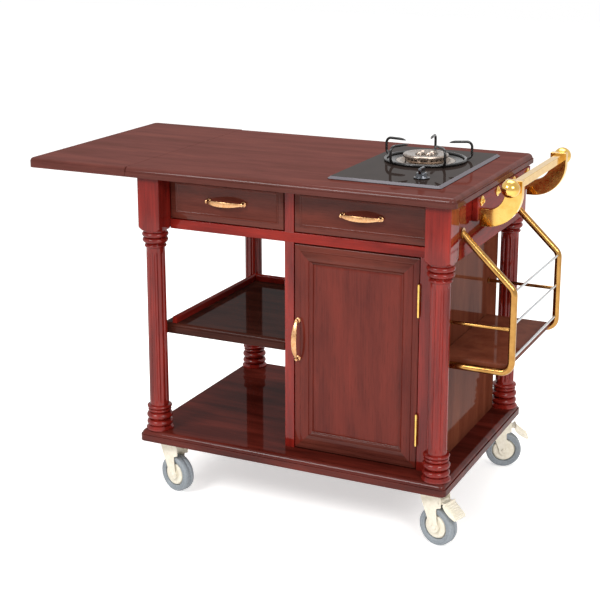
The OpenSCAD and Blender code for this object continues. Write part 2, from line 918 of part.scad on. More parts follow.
module burner_cap() {
    rim = 6;
    dome = 3;
    lobe_h = 3.5;
    color("#a8a49a") placed() translate([burner_x, burner_y, z_glass + burner_rise + rest_gap]) {
        translate([0, 0, -4]) cylinder(h = 4, r = throat_r - 1);
        cylinder(h = rim, r = cap_r);
        translate([0, 0, rim]) cylinder(h = dome, r1 = cap_r, r2 = cap_r - 5);
        translate([0, 0, rim + dome - 1]) {
            for (i = [0 : 3]) rotate([0, 0, 45 + i * 90]) translate([18, 0, 0]) cylinder(h = lobe_h, r1 = 11, r2 = 9);
            cylinder(h = lobe_h, r = 6);
        }
    }
}

module pan_support() {
    prong_r = wire_r - 0.5;
    z_ring = z_glass + rest_gap + wire_r;
    z_top = z_glass + support_h - wire_r;
    reach = ring_r + prong_out;
    tip = ring_r - prong_in;
    color(wire_black) placed() translate([burner_x, burner_y, 0]) {
        translate([0, 0, z_ring]) rotate_extrude() translate([ring_r, 0]) circle(r = wire_r);
        for (i = [0 : prongs - 1]) rotate([0, 0, prong_turn + i * 360 / prongs]) {
            bent_tube([[ring_r, z_ring], [reach, z_ring], [reach, z_top], [tip, z_top]], prong_bend, prong_r);
            translate([tip, 0, z_top]) sphere(r = prong_r);
        }
    }
}

module hob_knob() {
    z = z_glass + 0.5;
    color("#e6e8ea") placed() translate([knob_x, knob_y, z]) {
        translate([0, 0, -28]) cylinder(h = 29, r = stem_r);
        cylinder(h = 3, r = knob_d / 2);
        translate([0, 0, 3]) cylinder(h = 10, r1 = knob_d / 2 - 4, r2 = knob_d / 2 - 6);
        translate([0, 0, 13]) cylinder(h = 14, r = 6);
        translate([-4, -knob_d / 2 + 4, 13]) cube([8, knob_d - 8, 14]);
    }
}

module gas_line() {
    nipple_r = 5;
    nipple_len = 32;
    nipple_out = 18;
    branch_run = 80;
    y_end = y_car_r + nipple_out;
    z_tray = cart_h - tray_h + tray_t;
    z_valve = z_glass - 20;
    y_bend = burner_y - branch_run;
    color("#b9892f") placed() {
        difference() {
            block([knob_x - 13, knob_x + 13 + 9], [knob_y - 12, knob_y + 12], [z_tray, z_valve]);
            translate([knob_x, knob_y, z_glass - 29]) cylinder(h = 10, r = stem_r + pin_fit);
        }
        rod_y(x_inlet, [knob_y + 12, y_end], pipe_z, pipe_r);
        translate([x_inlet, y_end, pipe_z]) sphere(r = pipe_r + 3);
        translate([x_inlet, y_end, pipe_z - nipple_len - 6]) cylinder(h = nipple_len + 6, r = nipple_r);
        difference() {
            union() {
                rod_y(knob_x - 9, [knob_y + 12, y_bend], pipe_z, 3);
                translate([knob_x - 9, y_bend, pipe_z]) sphere(r = 3);
                burner_feed(y_bend);
            }
            translate([burner_x, burner_y, z_tray]) cylinder(h = 60, r = throat_r);
        }
    }
}

// Pipe from the valve's branch to the burner's throat
module burner_feed(y_bend) {
    run = [burner_x - knob_x + 9, burner_y - y_bend];
    translate([knob_x - 9, y_bend, pipe_z]) rotate([0, 90, heading(run)]) cylinder(h = norm(run), r = 3);
}

// Casters

module at_caster(i) {
    placed() translate([caster_at[i][0], caster_at[i][1], 0]) rotate([0, 0, caster_turn[i]]) children();
}

module caster_plates() {
    kingpin_h = plate_t + cup_h + crown_t + 6;
    color(zinc) placed() for (c = caster_at) translate([c[0], c[1], 0]) {
        translate([-plate_s / 2, -plate_s / 2, caster_h - plate_t]) cube([plate_s, plate_s, plate_t]);
        translate([0, 0, caster_h - plate_t - cup_h]) cylinder(h = cup_h, r1 = cup_r - 4, r2 = cup_r);
        translate([0, 0, caster_h - kingpin_h]) cylinder(h = kingpin_h, r = kingpin_r);
        translate([0, 0, caster_h - kingpin_h - 3]) cylinder(h = 5, r = kingpin_r + 4);
        for (a = [45 : 90 : 315]) rotate([0, 0, a]) translate([44, 0, caster_h - plate_t - 2.5])
            cylinder(h = 2.5, r1 = 4, r2 = 5.5);
    }
}

// Side outline of a fork leg, in x and z from the floor under the swivel
module leg_outline() {
    foot_r = 14;
    polygon([
        [-14, z_crown - 4], [-10, z_crown], [crown_x - 4, z_crown], [crown_x, z_crown - 4],
        [crown_x, z_crown - 30], [trail + 10, z_crown - 35], [trail + foot_r - 4, wheel_r], [trail - foot_r, wheel_r]
    ]);
    translate([trail, wheel_r]) circle(r = foot_r);
}

module fork(i, braked) {
    out = leg_in + leg_t;
    color(zinc) at_caster(i) {
        difference() {
            union() {
                for (y = [-out, leg_in]) translate([0, y + leg_t, 0]) rotate([90, 0, 0])
                    linear_extrude(leg_t) leg_outline();
                translate([-10, -out, z_crown - crown_t]) cube([crown_x + 4, 2 * out, crown_t]);
                translate([0, 0, z_crown - crown_t]) cylinder(h = crown_t, r = leg_in + 2);
            }
            translate([0, 0, z_crown - crown_t - 1]) cylinder(h = crown_t + 2, r = kingpin_r + pin_fit);
        }
        rod_y(trail, [-out - 3, out + 3], wheel_r, axle_r);
        for (y = [[-out - 3, -out], [out, out + 3]]) rod_y(trail, y, wheel_r, axle_r + 3);
        if (braked) rod_y(pedal_x, [-out, out], pedal_z, pedal_pin_r);
    }
}

module hub(i) {
    half = tyre_w / 2 - 1;
    color(zinc) at_caster(i) translate([trail, 0, wheel_r]) rotate([90, 0, 0]) difference() {
        rotate_extrude() {
            translate([0, -half]) square([hub_r - 6, 2 * half]);
            translate([0, -half + 3]) square([hub_r, 2 * half - 6]);
            translate([0, -half - 1.5]) square([11, 2 * half + 3]);
        }
        translate([0, 0, -half - 5]) cylinder(h = 2 * half + 10, r = axle_r + pin_fit);
    }
}

module tyre(i) {
    half = tyre_w / 2;
    groove = 2.5;
    color(rubber_grey) at_caster(i) translate([trail, 0, wheel_r]) rotate([90, 0, 0]) rotate_extrude() polygon([
        [hub_r, -half + 4], [hub_r + 4, -half + 2], [wheel_r - 9, -half], [wheel_r - 4, -half], [wheel_r, -half + 5],
        [wheel_r, -groove], [wheel_r - 2, -groove + 1], [wheel_r - 2, groove - 1], [wheel_r, groove],
        [wheel_r, half - 5], [wheel_r - 4, half], [wheel_r - 9, half], [hub_r + 4, half - 2], [hub_r, half - 4]
    ]);
}

module brake(i) {
    eye_r = 6;
    arm = leg_in - 1;
    neck = 14;
    neck_t = 4;
    pedal_slope = 38;
    pedal_w = 46;
    pedal_l = 50;
    pedal_t = 4;
    rim_h = 9;
    ribs = 6;
    rib_r = 1.6;
    rib_gap = 6.5;
    color(zinc) at_caster(i) translate([pedal_x, 0, pedal_z]) difference() {
        union() {
            rod_y(0, [-arm, arm], 0, eye_r);
            translate([0, -arm, -1]) cube([neck + 4, 2 * arm, neck_t]);
            translate([neck, 0, 0]) rotate([0, pedal_slope, 0]) {
                translate([0, -pedal_w / 2, 0]) cube([pedal_l, pedal_w, pedal_t]);
                translate([0, -pedal_w / 2, 0]) cube([pedal_t, pedal_w, rim_h]);
                for (k = [0 : ribs - 1])
                    rod_y(11 + k * rib_gap, [-pedal_w / 2 + 4, pedal_w / 2 - 4], pedal_t, rib_r);
            }
        }
        rod_y(0, [-leg_in, leg_in], 0, pedal_pin_r + pin_fit);
    }
}

module fork_front_left() { fork(0, false); }
module fork_front_right() { fork(1, true); }
module fork_rear_left() { fork(2, false); }
module fork_rear_right() { fork(3, true); }
module hub_front_left() { hub(0); }
module hub_front_right() { hub(1); }
module hub_rear_left() { hub(2); }
module hub_rear_right() { hub(3); }
module tyre_front_left() { tyre(0); }
module tyre_front_right() { tyre(1); }
module tyre_rear_left() { tyre(2); }
module tyre_rear_right() { tyre(3); }
module brake_front_right() { brake(1); }
module brake_rear_right() { brake(3); }

worktop();
drop_leaf();
leaf_hinge_fixed();
leaf_hinge_moving();
post_front_left();
post_front_right();
post_rear_left();
post_rear_right();
base_board();
middle_shelf();
shelf_gallery();
partition();
side_panel();
cabinet_back();
drawer_deck();
face_frame();
rear_apron();
left_apron();
right_apron();
drawer_left_front();
drawer_left_box();
drawer_left_pull();
drawer_right_front();
drawer_right_box();
drawer_right_pull();
door_frame();
door_panel();
door_pull();
door_hinge_fixed();
door_hinge_moving();
rack_tubes();
rack_rods();
rack_shelf();
handle_rail();
handle_brackets();
handle_bar();
handle_balls();
hob_glass();
hob_tray();
drip_bowl();
burner_body();
burner_cap();
pan_support();
hob_knob();
gas_line();
caster_plates();
fork_front_left();
fork_front_right();
fork_rear_left();
fork_rear_right();
hub_front_left();
hub_front_right();
hub_rear_left();
hub_rear_right();
tyre_front_left();
tyre_front_right();
tyre_rear_left();
tyre_rear_right();
brake_front_right();
brake_rear_right();
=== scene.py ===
import math

import bmesh
import bpy
from mathutils import Matrix, Vector


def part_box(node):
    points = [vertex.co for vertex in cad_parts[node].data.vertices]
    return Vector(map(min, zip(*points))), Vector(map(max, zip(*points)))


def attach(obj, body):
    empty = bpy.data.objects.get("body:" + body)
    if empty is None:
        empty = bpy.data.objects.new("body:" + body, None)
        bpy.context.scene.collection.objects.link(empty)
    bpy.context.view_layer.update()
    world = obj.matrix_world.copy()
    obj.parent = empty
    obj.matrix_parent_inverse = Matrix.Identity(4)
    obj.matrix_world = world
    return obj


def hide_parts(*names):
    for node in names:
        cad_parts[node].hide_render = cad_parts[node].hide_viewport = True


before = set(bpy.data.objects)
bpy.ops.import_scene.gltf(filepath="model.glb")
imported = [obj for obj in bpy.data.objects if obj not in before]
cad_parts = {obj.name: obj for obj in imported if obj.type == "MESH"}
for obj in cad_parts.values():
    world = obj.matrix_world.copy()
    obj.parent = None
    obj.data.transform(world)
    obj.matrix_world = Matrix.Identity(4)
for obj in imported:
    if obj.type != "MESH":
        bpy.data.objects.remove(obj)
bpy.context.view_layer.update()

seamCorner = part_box("worktop")[0]  # where the leaf's seam meets the top's front edge
# from millimetres past the seam, the front edge and the floor to metres in the shared frame
toMetres = Matrix.Translation((seamCorner.x, seamCorner.y, 0)) @ Matrix.Scale(0.001, 4)
noTurn = Matrix.Identity(4)
print("frame loaded:", len(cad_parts), "nodes")


# Colours and nodes

def linear(hexCode):  # sRGB hex to the linear values that shaders read
    parts = [int(hexCode[i:i + 2], 16) / 255 for i in (1, 3, 5)]
    return tuple(p / 12.92 if p <= 0.04045 else ((p + 0.055) / 1.055) ** 2.4 for p in parts) + (1.0,)


def feed(tree, node, inputs):  # each value is a constant, a socket, or a node that gives its first output
    for key, value in inputs.items():
        if isinstance(value, bpy.types.Node):
            value = value.outputs[0]
        if isinstance(value, bpy.types.NodeSocket):
            tree.links.new(value, node.inputs[key])
        else:
            node.inputs[key].default_value = value


def addNode(tree, kind, inputs=None, stops=(), **settings):  # stops are a colour ramp's (place, hex colour)
    node = tree.nodes.new(kind)
    for key, value in settings.items():
        setattr(node, key, value)
    for i, (at, hexCode) in enumerate(stops):
        elements = node.color_ramp.elements
        element = elements[i] if i < 2 else elements.new(at)
        element.position = at
        element.color = linear(hexCode)
    feed(tree, node, inputs or {})
    return node


def newMaterial(name, shaderInputs):
    material = bpy.data.materials.new(name)
    material.use_nodes = True
    tree = material.node_tree
    tree.nodes.clear()
    shader = addNode(tree, "ShaderNodeBsdfPrincipled", shaderInputs)
    addNode(tree, "ShaderNodeOutputMaterial", {"Surface": shader})
    return material, tree, shader


def patternPoint(tree, sizeMm):  # object coordinates in repeats of the pattern's size along each axis
    place = addNode(tree, "ShaderNodeTexCoord").outputs["Object"]
    repeats = [1000 / size for size in sizeMm]
    return addNode(tree, "ShaderNodeMapping", {"Vector": place, "Scale": repeats})


# Mahogany under a sprayed gloss lacquer: soft red-brown figure that runs with the board, thin dark pores,
# and a clear coat that mirrors the lamps in the rounded edges
woodGrain = {
    "figureMm": 48,      # width of the soft light and dark clouds
    "figureRunMm": 260,  # their length along the board
    "streakMm": 4,
    "streakRunMm": 240,
    "poreMm": 1.6,       # real pores are 0.3 mm, drawn wider so that they show
    "poreRunMm": 34,
    "poreShade": 0.8,    # how far a pore darkens the stain
    "peelMm": 7,         # faint orange peel of the sprayed coat
    "streakShare": 0.26,
    "roughness": (0.35, 0.46),  # of the stained wood under the coat, over the streaks
    # (strength, metres) of the pores' relief in the wood and of the peel in the coat
    "poreBump": (0.12, 0.0003), "peelBump": (0.06, 0.0004),
}


def lacqueredWood(name, axis, dark, middle, light, coat=0.3, edgeCoat=None):
    material, tree, shader = newMaterial(name, {
        "IOR": 1.5, "Specular IOR Level": 0.0, "Coat Weight": coat, "Coat Roughness": 0.04, "Coat IOR": 1.5,
    })
    layers = {}
    for layer, noise in {
        "figure": {"Detail": 3.0, "Roughness": 0.55, "Distortion": 0.4},
        "streak": {"Detail": 3.0, "Roughness": 0.6},
        "pore": {"Detail": 1.0, "Roughness": 0.4},
        "peel": {"Detail": 1.0},
    }.items():
        across = woodGrain[layer + "Mm"]
        run = woodGrain.get(layer + "RunMm", across)
        point = patternPoint(tree, [run if way == axis else across for way in "xyz"])
        noise.update({"Vector": point, "Scale": 1.0})
        layers[layer] = addNode(tree, "ShaderNodeTexNoise", noise)
    blend = addNode(tree, "ShaderNodeMix", {
        "Factor": woodGrain["streakShare"], "A": layers["figure"], "B": layers["streak"],
    })
    tone = addNode(tree, "ShaderNodeValToRGB", {"Fac": blend}, [(0.32, dark), (0.5, middle), (0.68, light)])
    poreMask = addNode(tree, "ShaderNodeMapRange", {
        "Value": layers["pore"], "From Min": 0.3, "From Max": 0.42, "To Min": woodGrain["poreShade"],
    })
    # a colour mix takes its factor on socket 0 and its colours on 6 and 7
    stained = addNode(tree, "ShaderNodeMix", {
        0: 1.0, 6: tone, 7: poreMask,
    }, data_type="RGBA", blend_type="MULTIPLY")
    gloss = addNode(tree, "ShaderNodeMapRange", {
        "Value": layers["streak"], "From Min": 0.3, "From Max": 0.7,
        "To Min": woodGrain["roughness"][0], "To Max": woodGrain["roughness"][1],
    })
    poreBump, peelBump = [
        addNode(tree, "ShaderNodeBump", {"Strength": strength, "Distance": distance, "Height": height})
        for (strength, distance), height in (
            (woodGrain["poreBump"], poreMask), (woodGrain["peelBump"], layers["peel"]),
        )
    ]
    if edgeCoat is not None:  # coat weight set by facing: stronger on the moulded edges for a painted sheen line, weaker on the flat top so it mirrors less of the pale surroundings
        normal = addNode(tree, "ShaderNodeNewGeometry").outputs["Normal"]
        facing = addNode(tree, "ShaderNodeSeparateXYZ", {"Vector": normal})
        sheenByFacing = addNode(tree, "ShaderNodeMapRange", {
            "Value": facing.outputs["Z"], "From Min": 0.93, "From Max": 0.995,
            "To Min": edgeCoat, "To Max": coat,
        })
        feed(tree, shader, {"Coat Weight": sheenByFacing})
    feed(tree, shader, {
        "Base Color": stained.outputs[2], "Roughness": gloss, "Normal": poreBump, "Coat Normal": peelBump,
    })
    return material


# Red stain on the posts, rails and boards, browner on the top, the shelves and the fronts
redStain = ("#56110d", "#761c15", "#93261c")
topStain = ("#50271f", "#592d27", "#62332b")
doorStain = ("#531c16", "#65261d", "#742b21")
drawerStain = ("#4a1f19", "#5a2a21", "#683026")
shelfStain = ("#2c130f", "#3a1d17", "#4a251c")
# the base board's real stain, made darker as a painted reflection of the dark cabinet side in its glossy top
baseStainPaintedDark = ("#3a120d", "#501b14", "#66261d")
sideStain = ("#5a2c1d", "#683626", "#75402c")
redUpright = lacqueredWood("redMahoganyUpright", "z", *redStain, coat=0.6)
redLong = lacqueredWood("redMahoganyLong", "x", *redStain)
redDeep = lacqueredWood("redMahoganyDeep", "y", *redStain)
topLong = lacqueredWood("brownMahoganyLong", "x", *topStain, coat=0.09, edgeCoat=0.32)
frontLong = lacqueredWood("frontMahoganyLong", "x", *drawerStain)
frontUpright = lacqueredWood("frontMahoganyUpright", "z", *doorStain)
shelfLong = lacqueredWood("shelfMahoganyLong", "x", *shelfStain, coat=0.12)
baseLong = lacqueredWood("baseMahoganyLong", "x", *baseStainPaintedDark, coat=0.13, edgeCoat=0.4)
sideUpright = lacqueredWood("sideMahoganyUpright", "z", *sideStain, coat=0.15)


# Plywood and pine inside the drawers: pale, dry and matt, with flat bands of grain
pineGrain = {"runMm": 180, "bandMm": 4, "dark": "#a9814f", "light": "#cba877"}


def plainWood(name):
    material, tree, shader = newMaterial(name, {"IOR": 1.5, "Roughness": 0.62})
    point = patternPoint(tree, (pineGrain["runMm"], pineGrain["runMm"], pineGrain["bandMm"]))
    grain = addNode(tree, "ShaderNodeTexNoise", {"Vector": point, "Scale": 1.0, "Detail": 3.0})
    tone = addNode(tree, "ShaderNodeValToRGB", {"Fac": grain}, [
        (0.3, pineGrain["dark"]), (0.7, pineGrain["light"]),
    ])
    bump = addNode(tree, "ShaderNodeBump", {"Strength": 0.2, "Distance": 0.0004, "Height": grain})
    feed(tree, shader, {"Base Color": tone, "Normal": bump})
    return material


# Metals and other smooth finishes, whose polish varies a little in patches: finger marks and buffing
# change the blur of the reflections. groundEdge colours a plate's ground bevel, known by its slope.
def worn(name, shade, deep, roughness, spread, patchMm, metallic=1.0, bumpMm=0.0, groundEdge=None, **extra):
    material, tree, shader = newMaterial(name, {"Metallic": metallic, **extra})
    patches = addNode(tree, "ShaderNodeTexNoise", {
        "Vector": patternPoint(tree, [patchMm] * 3), "Scale": 1.0, "Detail": 4.0, "Roughness": 0.6,
    })
    blur = addNode(tree, "ShaderNodeMapRange", {
        "Value": patches, "From Min": 0.3, "From Max": 0.7, "To Min": roughness, "To Max": roughness + spread,
    })
    colour = addNode(tree, "ShaderNodeValToRGB", {"Fac": patches}, [(0.25, deep), (0.6, shade)])
    if groundEdge:
        normal = addNode(tree, "ShaderNodeNewGeometry").outputs["Normal"]
        slope = addNode(tree, "ShaderNodeSeparateXYZ", {"Vector": normal}).outputs["Z"]
        offTop, offSide = [
            addNode(tree, "ShaderNodeMapRange", {"Value": slope, "From Min": low, "From Max": high})
            for low, high in ((0.97, 0.9), (0.3, 0.5))
        ]
        bevel = addNode(tree, "ShaderNodeMath", {0: offTop, 1: offSide}, operation="MULTIPLY")
        colour = addNode(tree, "ShaderNodeMix", {
            0: bevel, 6: colour, 7: linear(groundEdge),
        }, data_type="RGBA").outputs[2]
    feed(tree, shader, {"Base Color": colour, "Roughness": blur})
    if bumpMm:
        bump = addNode(tree, "ShaderNodeBump", {
            "Strength": 0.5, "Distance": bumpMm / 1000, "Height": patches,
        })
        feed(tree, shader, {"Normal": bump})
    return material


plyAndPine = plainWood("pinePlain")
# Polished brass under clear varnish: warm yellow, nearly a mirror
brass = worn("polishedBrass", "#e2b866", "#cda04e", 0.08, 0.08, 24)
# Drawn brass tube of the rack, coloured a darker brown gold than the other brass: painted shade
shadedTubeBrass = worn("tubeBrassPaintedShade", "#b0854a", "#946a38", 0.12, 0.1, 24)
# Cast brass of the grips, tumbled rather than polished
castBrass = worn("tumbledBrass", "#d0a277", "#b68050", 0.2, 0.14, 6)
# Drawn stainless rods and screw heads: neutral grey with fine blurred reflections
stainless = worn("stainlessSteel", "#cfd2d4", "#b9bcbf", 0.14, 0.1, 12)
# The bowl under the flame, tinted brown and darkened: a painted reflection of the red wood around it
bowlSteelPaintedReflection = worn("bowlSteelWithPaintedReflection", "#a3968a", "#7d6a5c", 0.2, 0.12, 18)
# Die-cast burner head, its tone and polish varying in small patches
burnerSteel = worn("castBurnerSteel", "#94877c", "#5c534c", 0.18, 0.16, 7, bumpMm=0.15)
# Chromed knob: a cool mirror, its colour darkened to paint in dark reflections of the surroundings
chromePaintedDark = worn("chromePlatePaintedDark", "#56585c", "#434549", 0.05, 0.04, 10)
# Zinc-plated steel with a cream powder look: soft, satin, slightly yellow
zinc = worn("satinZinc", "#f1ead9", "#e2d9c3", 0.34, 0.16, 9, metallic=0.1, bumpMm=0.1, IOR=1.5)
# Black enamelled wire: deep gloss with tiny ripples
enamelWire = worn("blackEnamel", "#161414", "#0c0b0b", 0.16, 0.12, 5, metallic=0.0, bumpMm=0.12, IOR=1.5)
# Grey polyurethane tread: satin, with fine moulding grain
greyRubber = worn("greyPolyurethane", "#969da3", "#80878e", 0.48, 0.18, 4, metallic=0.0, bumpMm=0.12, IOR=1.5)
# Toughened glass, black printed on its underside: a thin mirror on a black ground, with a grey ground bevel
blackGlass = worn(
    "blackToughGlass", "#2c2421", "#261f1c", 0.3, 0.02, 60, metallic=0.0, groundEdge="#656166", **{
        "IOR": 1.5, "Specular IOR Level": 0.0, "Coat Weight": 0.2, "Coat Roughness": 0.02, "Coat IOR": 1.5,
    },
)
# Galvanised tray under the glass, dull
galvanised = worn("galvanisedSteel", "#a9adae", "#8d9294", 0.36, 0.14, 14)
print("materials made:", len(bpy.data.materials))


# Mesh helpers. All sizes below are in millimetres from the seam, the front edge and the floor.

def spin(degrees, axis):
    return Matrix.Rotation(math.radians(degrees), 4, axis)


def shift(x, y, z):
    return Matrix.Translation((x, y, z))


def bridge(bm, a, b, closed=True):
    count = max(len(a), len(b))
    for i in range(count if closed else count - 1):
        j = i + 1
        corners = []
        for v in (a[i % len(a)], a[j % len(a)], b[j % len(b)], b[i % len(b)]):
            if v not in corners:
                corners.append(v)
        if len(corners) > 2:
            bm.faces.new(corners)


def ring(bm, points, turn=noTurn):
    return [bm.verts.new(turn @ Vector(p)) for p in points]


def loft(bm, rings, capped=True):
    for a, b in zip(rings, rings[1:]):
        bridge(bm, a, b)
    if capped:
        for end in (rings[0], rings[-1]):
            if len(end) > 2:
                bm.faces.new(end)


def box(bm, x, y, z, turn=noTurn):
    low, high = [
        ring(bm, [(x[0], y[0], h), (x[1], y[0], h), (x[1], y[1], h), (x[0], y[1], h)], turn) for h in z
    ]
    loft(bm, [low, high])


def turnedRings(bm, profile, steps, turn=noTurn):  # one round the local Z for each (radius, height)
    return [
        ring(bm, [
            (radius * math.cos(math.tau * i / steps), radius * math.sin(math.tau * i / steps), height)
            for i in range(steps if radius > 1e-6 else 1)
        ], turn)
        for radius, height in profile
    ]


def lathe(bm, profile, steps, turn=noTurn, looped=False):
    rings = turnedRings(bm, profile, steps, turn)
    loft(bm, rings, capped=not looped)
    if looped:
        bridge(bm, rings[-1], rings[0])


def arc(centre, radius, start, end, steps):  # (across, up) points on an arc, angles in degrees
    return [
        (centre[0] + radius * math.cos(math.radians(start + (end - start) * i / steps)),
         centre[1] + radius * math.sin(math.radians(start + (end - start) * i / steps)))
        for i in range(steps + 1)
    ]


def roundedPath(points, bend, steps):  # a line of points with its corners rounded
    points = [Vector(p) for p in points]
    path = [points[0]]
    for before, corner, after in zip(points, points[1:], points[2:]):
        a = (before - corner).normalized()
        b = (after - corner).normalized()
        half = a.angle(b) / 2
        centre = corner + (a + b).normalized() * (bend / math.sin(half))
        start = corner + a * (bend / math.tan(half)) - centre
        end = corner + b * (bend / math.tan(half)) - centre
        path += [centre + start.length * start.slerp(end, i / steps) for i in range(steps + 1)]
    return path + [points[-1]]


def tube(bm, path, radii, steps):  # a round bar along a path, with a radius for each of its points
    side = None
    rings = []
    for i, (point, radius) in enumerate(zip(path, radii)):
        ahead = (path[min(i + 1, len(path) - 1)] - path[max(i - 1, 0)]).normalized()
        if side is None:
            side = ahead.orthogonal().normalized()
        side = (side - ahead * side.dot(ahead)).normalized()
        other = ahead.cross(side)
        rings.append(ring(bm, [
            point + radius * (side * math.cos(math.tau * k / steps) + other * math.sin(math.tau * k / steps))
            for k in range(steps)
        ]))
    loft(bm, rings)


# A board in XZ that steps in from its edge: sections are (inset, depth) from the front face y
def steppedBoard(bm, x, y, z, sections):
    loft(bm, [
        ring(bm, [(x[0] + i, y + d, z[0] + i), (x[1] - i, y + d, z[0] + i),
                  (x[1] - i, y + d, z[1] - i), (x[0] + i, y + d, z[1] - i)])
        for i, d in sections
    ])


def meshOf(name, bm):
    mesh = bpy.data.meshes.new(name)
    bm.to_mesh(mesh)
    bm.free()
    return mesh


def addObject(name, data):
    thing = bpy.data.objects.new(name, data)
    bpy.context.scene.collection.objects.link(thing)
    return thing


def finishPiece(name, bm, material, body, nodes, bevel=0.0, sharp=35):
    bmesh.ops.remove_doubles(bm, verts=bm.verts, dist=0.01)
    bmesh.ops.recalc_face_normals(bm, faces=bm.faces)
    bmesh.ops.transform(bm, matrix=toMetres, verts=bm.verts)
    finishMesh(name, meshOf(name, bm), material, body, nodes, bevel, sharp)


def finishMesh(name, mesh, material, body, nodes, bevel=0.0, sharp=35):
    mesh.materials.clear()
    mesh.materials.append(material)
    mesh.shade_smooth()
    mesh.set_sharp_from_angle(angle=math.radians(sharp))
    piece = addObject(name, mesh)
    if bevel:
        edge = piece.modifiers.new("softEdges", "BEVEL")
        edge.width = bevel / 1000
        edge.segments = 3
        edge.limit_method = "ANGLE"
        edge.angle_limit = math.radians(30)
        edge.harden_normals = True
    if nodes:
        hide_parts(*nodes)
    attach(piece, body)


def boxPiece(name, boards, material, node, bevel):  # boards are (x, y, z) spans
    bm = bmesh.new()
    for spans in boards:
        box(bm, *spans)
    finishPiece(name, bm, material, "cart", [node], bevel=bevel)


def lathedPiece(name, profile, steps, turn, material, body, nodes, sharp, looped=True):
    bm = bmesh.new()
    lathe(bm, profile, steps, turn, looped)
    finishPiece(name, bm, material, body, nodes, sharp=sharp)


# Geometry Nodes helpers

def newTree(name, sockets):
    tree = bpy.data.node_groups.new(name, "GeometryNodeTree")
    tree.interface.new_socket("Geometry", in_out="OUTPUT", socket_type="NodeSocketGeometry")
    tree.interface.new_socket("Geometry", in_out="INPUT", socket_type="NodeSocketGeometry")
    for label, kind in sockets.items():
        tree.interface.new_socket(label, in_out="INPUT", socket_type="NodeSocket" + kind)
    return tree, addNode(tree, "NodeGroupInput").outputs


def endTree(tree, geometry, material):
    real = addNode(tree, "GeometryNodeRealizeInstances", {"Geometry": geometry})
    dressed = addNode(tree, "GeometryNodeSetMaterial", {"Geometry": real, "Material": material})
    addNode(tree, "NodeGroupOutput", {"Geometry": dressed})
    return tree


def grow(name, bm, tree, values):  # runs a tree on a seed mesh and gives the result as a plain mesh
    maker = addObject(name, meshOf(name, bm))
    modifier = maker.modifiers.new("grow", "NODES")
    modifier.node_group = tree
    for item in tree.interface.items_tree:
        if item.item_type == "SOCKET" and item.in_out == "INPUT" and item.name in values:
            modifier[item.identifier] = values[item.name]
    mesh = bpy.data.meshes.new_from_object(maker.evaluated_get(bpy.context.evaluated_depsgraph_get()))
    bpy.data.objects.remove(maker)
    return mesh


def toPlace(mesh, turn):
    mesh.transform(toMetres @ turn)
    return mesh


# Posts: one lathed and fluted turning with a square block on top
postShape = {
    "centres": {"front_left": (58, 48), "front_right": (852, 48), "rear_left": (58, 607),
                "rear_right": (852, 607)},
    "foot": 178, "block": 732, "top": 875, "halfBlock": 32,
    "shaftFoot": 26.0, "shaftTop": 24.5, "neckLow": 29.5, "neckHigh": 28.5,
    # how far the square block reaches from the middle as it grows out of the turning, at each height
    "blockRings": [(732, 31), (732.6, 36.8), (735, 39.2), (738, 42.2), (741, 44.2), (743, 44.4),
                   (873.5, 44.4), (875, 43.2)],
    "flutes": 12, "fluteRadius": 4.2, "fluteCentre": 1.6, "fluteFrom": 252, "fluteTo": 678, "fluteRun": 12,
    "steps": 192, "topEase": 0.99,
}


def beadArc(z, radius, half):  # a round bead with its middle at height z
    return arc((radius - half, z), half, -90, 90, 10)


def postProfile():
    p = postShape
    foot, block = p["foot"], p["block"]
    profile = [(0, foot), (37, foot), (37, foot + 4), (36, foot + 5), (31.5, foot + 10)]
    profile += beadArc(foot + 19, 35, 8) + [(p["neckLow"], foot + 28.5)]
    profile += beadArc(foot + 39, 35, 9) + [(p["neckLow"], foot + 49)]
    profile += beadArc(foot + 54, 31.5, 4)
    profile += beadArc(foot + 64, 33.5, 4)
    shaftZ = [foot + 69, p["fluteFrom"]]
    shaftZ += [p["fluteFrom"] + p["fluteRun"] * k / 5 for k in range(1, 6)]
    shaftZ += [p["fluteFrom"] + (p["fluteTo"] - p["fluteFrom"]) * k / 12 for k in range(1, 12)]
    shaftZ += [p["fluteTo"] - p["fluteRun"] * k / 5 for k in range(5, -1, -1)] + [block - 48]
    for z in shaftZ:
        profile.append((p["shaftFoot"] - (p["shaftFoot"] - p["shaftTop"]) * (z - foot) / (block - foot), z))
    profile += beadArc(block - 43, 29, 4)
    profile += [(24.8, block - 38.5), (27, block - 36), (p["neckHigh"], block - 35)]
    profile += beadArc(block - 27, 34, 7)
    profile += beadArc(block - 12, 35, 7) + [(31, block - 4), (31, block)]
    return profile


def squareReach(angle, limit):  # a square's half width in a direction, cut off to a circle at its corners
    half = postShape["halfBlock"]
    return min(limit, half / max(abs(math.cos(angle)), abs(math.sin(angle))))


